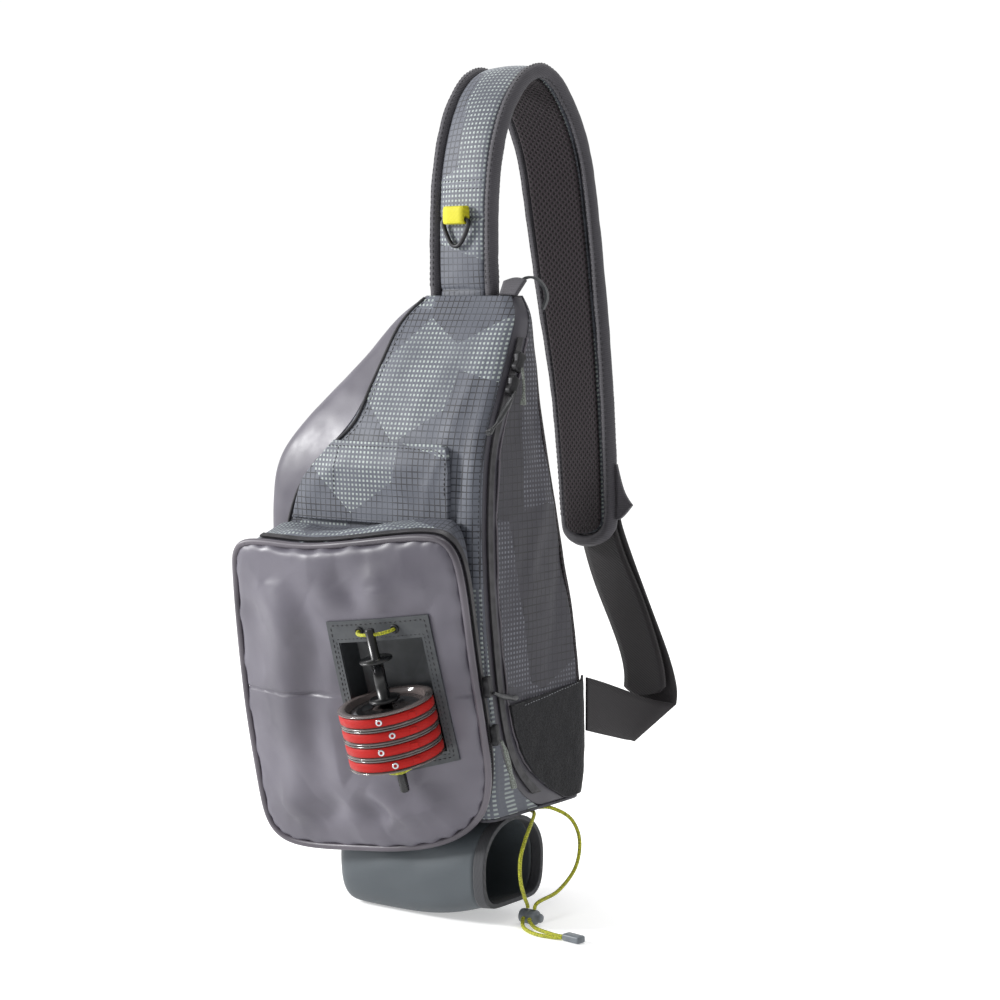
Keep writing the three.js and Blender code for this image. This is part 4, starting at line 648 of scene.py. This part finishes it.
# The cloth behind the rim swells above the pocket and hangs below it
swell = np.where(flat[:, 1] > 0, pocketSetup["swellTop"], pocketSetup["swellBottom"])
swell *= np.exp(-(((flat[:, 2] + 16) / 8) ** 2))
swell *= np.clip((np.abs(flat[:, 1]) - 80) / 10, 0, 1) * np.clip((62 - np.abs(flat[:, 0] + 8)) / 24, 0, 1)
swell *= 1 + 0.25 * roughness(spots, 18, 6.1)
ripple = (1 - onFace) * 0.8 * roughness(spots, 16, 2.7)
sides = (np.sign(flat[:, 1]) * swell)[:, None] * pocketAxes[1][1] + outwards(spots) * ripple[:, None]
movePoints(pocketShape, push[:, None] * pocketAxes[1][2] + sides + rimOut)
pocketShape.faces.ensure_lookup_table()
for face in pocketShape.faces:
    spot = localTo(pocketAxes, np.array(face.calc_center_median()))
    if spot[2] < -4.5:
        face.material_index = 1


def pocketUv(places):
    flat = localTo(pocketAxes, places)
    onWall = np.stack([flat[:, 0] - flat[:, 1] * 0.35, flat[:, 1] * 0.4 + flat[:, 2] * 1.2], axis=1)
    return np.where(flat[:, 2:] < -4, onWall, flat[:, :2])


place("front_pocket_cloth", pocketShape, ["satin", "ripstop"], stands=("front_pocket",), slot="satin", uv=pocketUv)
pipingShape = smoothed(copyNode("pocket_piping"), 3, 70)
movePoints(pipingShape, normals(pipingShape) * (0.85 + 0.05 * roughness(points(pipingShape), 20, 4.4))[:, None])
place("pocket_piping_cloth", pipingShape, "piping", stands=("pocket_piping",), slot="binding_tape")
dressed("pocket_zip_band", "pocket_zip_band_cloth", "satinDark", "satin")
print("stage: pocket")

# Zips: a laminated tape on each side of a dark slit, with small teeth showing in it
zipLine = smoothLine([(79.64, 14.98, 82.33), (80.08, -6.31, 98.88), (80.1, -18.95, 122.05), (80.08, -26.07, 151.84),
                      (80.13, -31.18, 184.94), (79.64, -35.02, 221.35), (79.2, -35.95, 257.76), (78.99, -34.59, 284.24),
                      (78.51, -32.04, 304.1), (77.88, -25.23, 323.96), (77.0, -10.36, 350.44), (75.68, 2.04, 376.92)], 10)
bandLine = smoothLine([(-71.18, -79.26, 247.84), (-57.49, -78.15, 247.58), (-37, -76.31, 246.33), (-18.13, -75.11, 247.7),
                       (3.66, -74.01, 250.65), (31.83, -72.69, 255.02), (49.86, -71.74, 257.33), (62.54, -70.84, 257.83),
                       (70.65, -69.89, 256.71), (76.86, -68.13, 251.75), (80.56, -66.07, 243.92), (82.07, -63.54, 232.43),
                       (82.61, -59.98, 214.98), (82.44, -55.51, 192.54), (82.74, -50.97, 169.73), (83.78, -46.19, 143.53),
                       (84.71, -41.41, 116.41), (83.5, -39.34, 103.01)], 8)
dressed("main_zip_tape", "main_zip_tape_cloth", "satinDark", "zip_tape")


def zipChain(name, node, line, pitch):
    base = smoothed(copyNode(node), 3)
    spots = points(base)
    run = np.array([np.min(np.linalg.norm(line - p, axis=1)) for p in spots])
    movePoints(base, -normals(base) * (0.9 * np.exp(-((run / 0.8) ** 2)))[:, None])
    chain = place(f"{name}_coil", base, "zipChain", stands=(node,), slot="zip_coil")
    paths = [line + np.array([0, off, 0]) for off in (-1.1, 1.1)]
    sew(f"{name}_teeth", chain, paths, "zipChain", pitch, pitch * 0.62, 0.45, 0.05)


zipChain("main_zip", "main_zip_chain", zipLine, 1.7)
zipChain("pocket_zip", "pocket_zip_chain", bandLine, 1.7)
print("stage: zips")

# Spool station
sheetShape = copyNode("tippet_frame")
bmesh.ops.subdivide_edges(sheetShape, edges=sheetShape.edges, cuts=1)
made["sheet"] = place("tippet_frame_sheet", sheetShape, "sheet", stands=("tippet_frame",), slot="coated_sheet",
                      smooth=False)
place("tippet_tray_shell", modified(copyNode("tippet_tray"), ("BEVEL", {"width": 0.5, "segments": 2})), "tray",
      stands=("tippet_tray",), slot="coated_sheet")


def stationPath(rows, out=0.0):
    return worldFrom(stationAxes, [(x, y, out) for x, y in rows])


def around(half, top, bottom, peak):
    rows = [(-half, top), (half, top), (half, bottom), (0, bottom - peak), (-half, bottom), (-half, top)]
    dense = []
    for (x0, y0), (x1, y1) in zip(rows, rows[1:]):
        for t in np.arange(0, 1, 0.05):
            dense.append((x0 + (x1 - x0) * t, y0 + (y1 - y0) * t))
    return dense + [rows[-1]]


sew("station_stitches", made["sheet"], [stationPath(around(34.8, 45.3, -45.4, 4.6), 1.2)], "stitch", 3.6, 2.4, 0.38, 0.1)
sew("window_stitches", made["sheet"], [stationPath(around(32.4, 36.2, -43.6, 0), 1.2)], "stitch", 3.0, 2.0, 0.28, 0.05)

station = {"bar": 11.0, "shift": 1.0, "bottom": -40.4, "height": 9.2, "pitch": 9.6, "radius": 30.8, "bore": 4.5}


# Sets a shape spun round Z on the bar, so that Z becomes the station's up
def onBar(shape, height=0.0):
    right, up, out = (Vector(a) for a in stationAxes[1])
    shifted(shape, (0, 0, height))
    bmesh.ops.rotate(shape, matrix=Matrix((right, out * -1, up)).transposed(), cent=(0, 0, 0), verts=shape.verts)
    return shifted(shape, Vector(worldFrom(stationAxes, (station["shift"], 0, station["bar"]))))


rim, floor, radius, bore = station["height"] / 2, station["radius"] - 3, station["radius"], station["bore"]
spoolProfile = [(bore, -rim), (7.6, -rim), (8.4, -rim + 0.4), (9, -1.6), (floor - 3.4, -2.2), (floor - 2.3, -rim + 0.5),
                (floor - 1.8, -rim), (radius - 0.5, -rim), (radius, -rim + 0.35), (radius - 0.2, -rim + 0.9),
                (floor, 1.3 - rim), (floor, rim - 1.3), (radius - 0.2, rim - 0.9), (radius, rim - 0.35), (radius - 0.5, rim),
                (floor - 1.8, rim), (floor - 2.4, rim - 0.5), (floor - 3.4, 0.2), (9, 0.9), (bore, 1), (bore, -rim)]
bandHalf = rim - 1.7
bandProfile = [(floor + 0.3, -bandHalf), (radius - 0.9, -bandHalf), (radius - 0.5, -bandHalf + 0.4), (radius - 0.35, 0),
               (radius - 0.5, bandHalf - 0.4), (radius - 0.9, bandHalf), (floor + 0.3, bandHalf), (floor + 0.3, -bandHalf)]
ringProfile = [(1.1, -0.35), (1.9, -0.35), (2.2, 0), (1.9, 0.35), (1.1, 0.35), (0.9, 0), (1.1, -0.35)]
lineProfile = [(9.4, 1.15), (19, 1.0), (23.6, 0.9), (23.6, 1.2), (19, 1.35), (9.4, 1.5), (9.4, 1.15)]
ringTurns = [-62, -75, -58, -70]  # degrees round the bar, where each band's metal ring sits
for i, ringTurn in enumerate(ringTurns):
    height = station["bottom"] + rim + i * station["pitch"]
    body, spool = f"tippet_{i + 1}", f"spool_{i + 1}"
    place(f"{spool}_shell", onBar(spun(spoolProfile, 72), height), "smoked", body, (spool,), "clear_plastic")
    place(f"{spool}_band", onBar(spun(bandProfile, 72), height), "red", body, (f"spool_band_{i + 1}",), "red_band")
    ringShape = shifted(turned(spun(ringProfile, 20), 90, "Y"), (radius - 0.35, 0, 0))
    place(f"{spool}_ring", onBar(turned(ringShape, ringTurn, "Z"), height), "silver", body)
    tab = bmesh.new()
    bmesh.ops.create_grid(tab, x_segments=6, y_segments=4, size=0.5, matrix=Matrix.Diagonal((5.0, 3.6, 1, 1)))
    bmesh.ops.solidify(tab, geom=tab.faces, thickness=0.5)
    shifted(turned(turned(tab, 90, "X"), 68, "Z"), (radius + 0.5, 0, 0))
    turned(tab, ringTurn + 26 + 14 * (i % 2), "Z")
    bmesh.ops.recalc_face_normals(tab, faces=tab.faces)
    place(f"{spool}_tab", onBar(tab, height), "red", body)
    place(f"{spool}_line", onBar(spun(lineProfile, 48), height), "silver" if i == 3 else "tube", body)

top = station["bottom"] + 4 * station["height"] + 3 * (station["pitch"] - station["height"])
barProfile = [(0, -63), (2.2, -63), (3, -62.2), (3, -42.5), (7.4, -42.3), (8, -41.9), (8, -41.1), (7.6, -40.7), (4, -40.7),
              (4, top + 0.3), (9.6, top + 0.3), (10, top + 0.7), (10, top + 1.9), (9.4, top + 2.4), (4, top + 2.4),
              (4, 24), (10, 24), (10.5, 24.3), (10.5, 25.3), (10, 25.6), (3, 25.6), (3, 44.2), (2.3, 45), (0, 45)]
place("tippet_bar_shaft", onBar(spun(barProfile, 48)), "black", stands=("tippet_bar",), slot="black_plastic")
eyeletProfile = [(1.6, 0), (3, 0), (2.9, 0.5), (2.4, 0.95), (1.9, 0.9), (1.6, 0.4), (1.6, 0)]
for node in (f"eyelet_{i}" for i in range(1, 5)):
    middle = localTo(stationAxes, points(copyNode(node)))
    eyelet = spun(eyeletProfile, 24)
    facing = Matrix([Vector(a) for a in stationAxes[1]]).transposed()
    bmesh.ops.rotate(eyelet, matrix=facing, cent=(0, 0, 0), verts=eyelet.verts)
    spot = worldFrom(stationAxes, (middle[:, 0].mean(), middle[:, 1].mean(), middle[:, 2].min()))
    place(f"{node}_ring", shifted(eyelet, Vector(spot)), "metal", stands=(node,), slot="black_plastic")
for node in ("loop_top", "loop_bottom"):
    dressed(node, f"{node}_cord", "neon", "neon_cord", 2, 70)
print("stage: station")

# Zip sliders and pulls
softBevel = ("BEVEL", {"width": 0.9, "segments": 3, "limit_method": "ANGLE"})
for i in range(1, 5):
    slider = modified(copyNode(f"zip_slider_{i}"), softBevel)
    place(f"zip_slider_{i}_body", slider, "metal", stands=(f"zip_slider_{i}",), slot="dark_metal")
    pull = smoothed(copyNode(f"zip_pull_{i}"), 3, 80)
    movePoints(pull, normals(pull) * (0.18 * roughness(points(pull), 1.4, i))[:, None])
    place(f"zip_pull_{i}_cord", pull, "tube" if i in (2, 3) else "pull", stands=(f"zip_pull_{i}",), slot="pull_cord")
dressed("zip_garage", "zip_garage_tab", "binding", "binding_tape")
dressed("haul_loop", "haul_loop_webbing", "haul", "grey_webbing")
print("stage: zip parts")

# Shoulder strap: its middle line, and which way its width points along it
strapLine = np.array([
    (21.38, 17.6, 391.4), (20.67, 17.21, 409.58), (20.39, 16.68, 433.02), (20.42, 16.86, 453.19), (20.42, 18.73, 479.9),
    (20.42, 24.22, 504.55), (20.42, 34.3, 526.07), (20.42, 48.67, 542.9), (20.42, 64, 551), (20.42, 79.61, 549.55),
    (20.42, 94.44, 538.4), (20.42, 110.63, 517.39), (20.26, 121.49, 494.16), (20.42, 127.21, 469.4), (22.06, 129.68, 448.01),
    (24.58, 130.96, 424.07), (27.38, 131.73, 400.4), (30.35, 132.08, 378.87), (33.56, 131.96, 357.59),
    (36.43, 131.73, 335.9), (38.82, 131.56, 310.32), (40.82, 131.26, 284.28), (42.5, 130.6, 263.9), (44.42, 128.9, 247.4),
    (46.1, 127.5, 231.0)])
strapWide = [(1, 0, 0.04), (1, -0.07, 0.02), (0.99, -0.12, 0.0), (0.99, -0.12, 0.02), (1, -0.08, 0.04), (1, -0.03, 0.03),
             (1, 0, 0), (1, 0.02, 0.02), (1, 0.06, 0.03), (1, 0.06, 0.06), (0.99, -0.06, 0.12), (0.97, -0.23, 0.11),
             (0.95, -0.29, 0.11), (0.94, -0.3, 0.14)]
strapAt = [0, 1.3, 3.2, 4, 5, 7, 8.3, 11, 12.4, 13.4, 15.8, 19.8, 23, 24]  # places of those widths along the line
strapDense = smoothLine(strapLine, 10)
strapRun = np.concatenate([[0], np.cumsum(np.linalg.norm(np.diff(strapDense, axis=0), axis=1))])
denseAt = np.linspace(0, len(strapLine) - 1, len(strapDense))
denseWide = np.stack([np.interp(denseAt, strapAt, [w[k] for w in strapWide]) for k in range(3)], axis=1)
denseWide /= np.linalg.norm(denseWide, axis=1)[:, None]


def strapPlaces(places):
    away = np.linalg.norm(places[:, None, :] * [0, 1, 1] - strapDense[None, :, :] * [0, 1, 1], axis=2)
    near = away.argmin(axis=1)
    across = np.einsum("ij,ij->i", places - strapDense[near], denseWide[near])
    return across, strapRun[near], near


def strapUv(places):
    across, run, near = strapPlaces(places)
    step = np.gradient(strapDense, axis=0)[near]
    step /= np.linalg.norm(step, axis=1)[:, None]
    run = run + np.einsum("ij,ij->i", places - strapDense[near], step)
    return np.stack([across, run], axis=1)


strapOut = np.cross(denseWide, np.gradient(strapDense, axis=0))
strapOut /= np.linalg.norm(strapOut, axis=1)[:, None]
padShape = smoothed(copyNode("strap_pad"), 4, 55)
spots = points(padShape)
across, run, near = strapPlaces(spots)
# Puffy in the middle, pressed in where two seams cross the pad
puff = 1.0 - (across / 21) ** 2 + 0.7 * roughness(spots, 26, 1.9) + 0.3 * roughness(spots, 9, 6.1)
puff -= 1.6 * np.exp(-(((run - 62) / 1.5) ** 2)) + 1.2 * np.exp(-(((run - 16) / 1.5) ** 2))
onTop = (np.einsum("ij,ij->i", spots - strapDense[near], strapOut[near]) > 1).astype(float)
movePoints(padShape, strapOut[near] * (puff * onTop)[:, None] * 0.8)
made["pad"] = place("strap_pad_cloth", padShape, "ripstop", stands=("strap_pad",), slot="ripstop",
                    uv=lambda p: strapUv(p) + np.array([140, 60]))
dressed("strap_lining", "strap_lining_mesh", "spacerMesh", "spacer_mesh", uv=strapUv)
bindShape = smoothed(copyNode("strap_binding"), 3, 70)
spots = points(bindShape)
push = 0.35 * roughness(spots, 12, 3.3) + 0.12 * roughness(spots, 3, 8.3)
movePoints(bindShape, normals(bindShape) * push[:, None])
made["binding"] = place("strap_binding_tape", bindShape, "binding", stands=("strap_binding",), slot="binding_tape")
lift = strapOut * 6
edgeLines = [(strapDense + denseWide * sign * inset + side * lift)[10:228]
             for sign in (-1, 1) for side in (-1, 1) for inset in (26.3, 22.4)]
sew("strap_stitches", made["binding"], edgeLines, "stitch", 3.6, 2.5, 0.34, 0.08)
crossSeams = [(strapDense + lift)[i] + np.linspace(-19, 19, 12)[:, None] * denseWide[i] for i in (37, 39)]
sew("strap_seams", made["pad"], crossSeams, "stitch", 3.2, 2.2, 0.3, 0.08)
dressed("strap_wing", "strap_wing_cloth", "binding", "ripstop")
print("stage: strap")

# Ring, lock and webbing
dressed("ring_tab", "ring_tab_tape", "neonTape", "neon_cord", 2, 30)
dressed("d_ring", "d_ring_wire", "metal", "dark_metal", 2, 80, "ring")
lockBevel = {"width": 0.8, "segments": 3}
ladder = modified(copyNode("ladder_lock"), ("BEVEL", {**lockBevel, "limit_method": "ANGLE"}))
place("ladder_lock_frame", ladder, "black", stands=("ladder_lock",), slot="black_plastic")
place("lock_tab_webbing", modified(copyNode("lock_tab"), ("BEVEL", lockBevel)), "webbing", stands=("lock_tab",),
      slot="dark_webbing")
for node in ("webbing", "webbing_tail"):
    dressed(node, f"{node}_strap", "webbing", "dark_webbing")


# Seam cords and topstitching on the compartment
def onto(surface, path, lift):
    tree = treeOf(surface)
    hits = [tree.find_nearest(Vector(p) * mm) for p in path]
    return [tuple(hit[0] * 1000 + hit[1] * lift) for hit in hits if hit[0] is not None]


seamLine = smoothLine([(-76.0, -39.27, 151.84), (-77.85, -43.08, 184.94), (-77.95, -47.23, 221.35),
                       (-76.41, -48.71, 257.76), (-62.61, -48.65, 284.24), (-42.58, -47.49, 304.1),
                       (-24.04, -40.96, 323.96), (-21.01, -24.55, 350.44),
                       (-17.46, -9.24, 376.92), (-15.15, 1.88, 391.81), (-6.0, 9.0, 402.0)], 6)
place("left_seam_cord", tube(onto(made["front_panel"], seamLine, 0.4), 1.1), "stitch")
sew("left_seam_stitches", made["front_panel"], [seamLine + np.array([4.2, 0, -0.6])], "stitch", 3.4, 2.3, 0.3, 0.08)
flapRight, flapTop = flapBox[1][0], flapBox[1][2]
flapRim = [(x, -55, flapTop - 2.6) for x in (-40, -20, 0, 20, 40)] + [(flapRight - 12, -54, flapTop - 3)]
flapRim += [(flapRight - 6, -53, flapTop - 6), (flapRight - 3.2, -52, flapTop - 12),
            (flapRight - 3.2, -52, flapTop - 34)]
sew("flap_stitches", made["flap"], [smoothLine(flapRim, 4)], "stitch", 3.2, 2.2, 0.32, 0.1)
flapMiddle = smoothLine([(-33, -55, 273), (-32, -55, 290), (-30, -55, 308)], 4)
sew("flap_middle_stitches", made["flap"], [flapMiddle], "stitch", 3.2, 2.2, 0.3, 0.1)
patchTop = smoothLine([(84, -2, 143), (84, 20, 145.2), (84, 40, 147.4), (84, 62, 149.6)], 6)
sew("patch_stitches", made["patch"], [patchTop - np.array([0, 0, 1.0])], "paleStitch", 3.0, 2.0, 0.3, 0.1)
gussetEdge = zipLine[8:] + np.array([1, 9.6, 0])
sew("gusset_stitches", made["right_gusset"], [gussetEdge], "stitch", 3.2, 2.2, 0.3, 0.08)
frontEdge = zipLine[20:] + np.array([1, -10.6, 0])
sew("front_zip_stitches", made["front_panel"], [frontEdge], "stitch", 3.2, 2.2, 0.3, 0.08)
place("gusset_edge_cord", tube(onto(made["right_gusset"], zipLine[8:] + np.array([1, 8.4, 0]), 0.3), 0.7), "piping")
print("stage: seams")

# Bottle sleeve
sleeveShape = smoothed(copyNode("bottle_sleeve"), 3, 60)
spots = points(sleeveShape)
sleeveFolds = [(-30, 50, 30, 44, 6, -1.0), (-40, 20, 10, 34, 6, 0.9), (10, 24, 60, 40, 7, 0.9), (-20, 12, 40, 16, 5, -0.8)]
# Calm near the floor, under the bag and at the hem
calm = np.clip((spots[:, 2] - 4) / 12, 0, 1) * np.clip((68 - spots[:, 2]) / 8, 0, 1)
calm *= np.clip((62 - spots[:, 0]) / 12, 0, 1)
aside = (spots - np.array([0, 0, 35])) * [0, 1, 1]
aside /= np.maximum(np.linalg.norm(aside, axis=1), 1e-6)[:, None]
push = (folds(spots[:, [0, 2]], sleeveFolds) + roughness(spots, 24, 9.1)) * calm
movePoints(sleeveShape, aside * push[:, None])
place("bottle_sleeve_cloth", sleeveShape, "sleeve", stands=("bottle_sleeve",), slot="sleeve_cloth")
dressed("sleeve_binding", "sleeve_hem_tape", "hem", "binding_tape", 3, 60)
print("stage: sleeve")

# Studio: a pale floor that glows a little, and a lit paper wall round it. The wall is white behind the bag and dimmer
# on the side that the bag faces, so its front keeps some shade.
studio = {"floor": 6, "floorGlow": 0.42, "wallRadius": 4, "wallHeight": 4.5, "dim": 0.62, "bright": 1.02, "world": 0.3}


def staged(name, shape, finish):
    mesh = bpy.data.meshes.new(name)
    shape.to_mesh(mesh)
    shape.free()
    mesh.materials.append(finish)
    finish.cycles.emission_sampling = "NONE"  # too broad to be worth aiming at, and it renders faster
    piece = bpy.data.objects.new(name, mesh)
    bpy.context.scene.collection.objects.link(piece)


ground = bmesh.new()
bmesh.ops.create_grid(ground, x_segments=1, y_segments=1, size=studio["floor"])
floorFinish, floorTree, floorShader = newFinish("painted studio floor", "#e4e4e4", 0.9)
floorShader.inputs["Emission Color"].default_value = linear("#ffffff")
floorShader.inputs["Emission Strength"].default_value = studio["floorGlow"]
staged("floor", ground, floorFinish)
wall = bmesh.new()
bmesh.ops.create_circle(wall, segments=64, radius=studio["wallRadius"])
raised = bmesh.ops.extrude_edge_only(wall, edges=wall.edges[:])["geom"]
raised = [item for item in raised if isinstance(item, bmesh.types.BMVert)]
bmesh.ops.translate(wall, vec=(0, 0, studio["wallHeight"]), verts=raised)
wallFinish, wallTree, wallShader = newFinish("backlit studio paper", "#101010", 1.0, specular=0.0)
side = addNode(wallTree, "ShaderNodeSeparateXYZ", None, {0: objectPlace(wallTree)})
behind = math2(wallTree, "MULTIPLY_ADD", side.outputs[1], 0.8, math2(wallTree, "MULTIPLY", side.outputs[0], -0.6))
glow = spread(wallTree, behind, -1.0, 2.2, studio["dim"], studio["bright"])
wallShader.inputs["Emission Color"].default_value = linear("#ffffff")
wallTree.links.new(glow, wallShader.inputs["Emission Strength"])
staged("wall", wall, wallFinish)
world = bpy.data.worlds.new("studio")
world.use_nodes = True
world.node_tree.nodes["Background"].inputs[0].default_value = linear("#ffffff")
world.node_tree.nodes["Background"].inputs[1].default_value = studio["world"]
bpy.context.scene.world = world
lights = {
    "key": {"place": (-1.75, -1.25, 1.15), "power": 68, "size": 0.55},
    "top": {"place": (0.0, 0.2, 1.9), "power": 10, "size": 0.9},
    "ground": {"place": (-0.3, 1.0, 2.2), "power": 12, "size": 1.6},
}
middle = Vector((0.03, 0.03, 0.28))
for name, setup in lights.items():
    light = bpy.data.lights.new(name, "AREA")
    light.energy = setup["power"]
    light.size = setup["size"]
    lamp = bpy.data.objects.new(name, light)
    lamp.location = setup["place"]
    lamp.rotation_euler = (middle - Vector(setup["place"])).to_track_quat("-Z", "Y").to_euler()
    bpy.context.scene.collection.objects.link(lamp)
bpy.context.scene.view_settings.view_transform = "Standard"
print("stage: light")
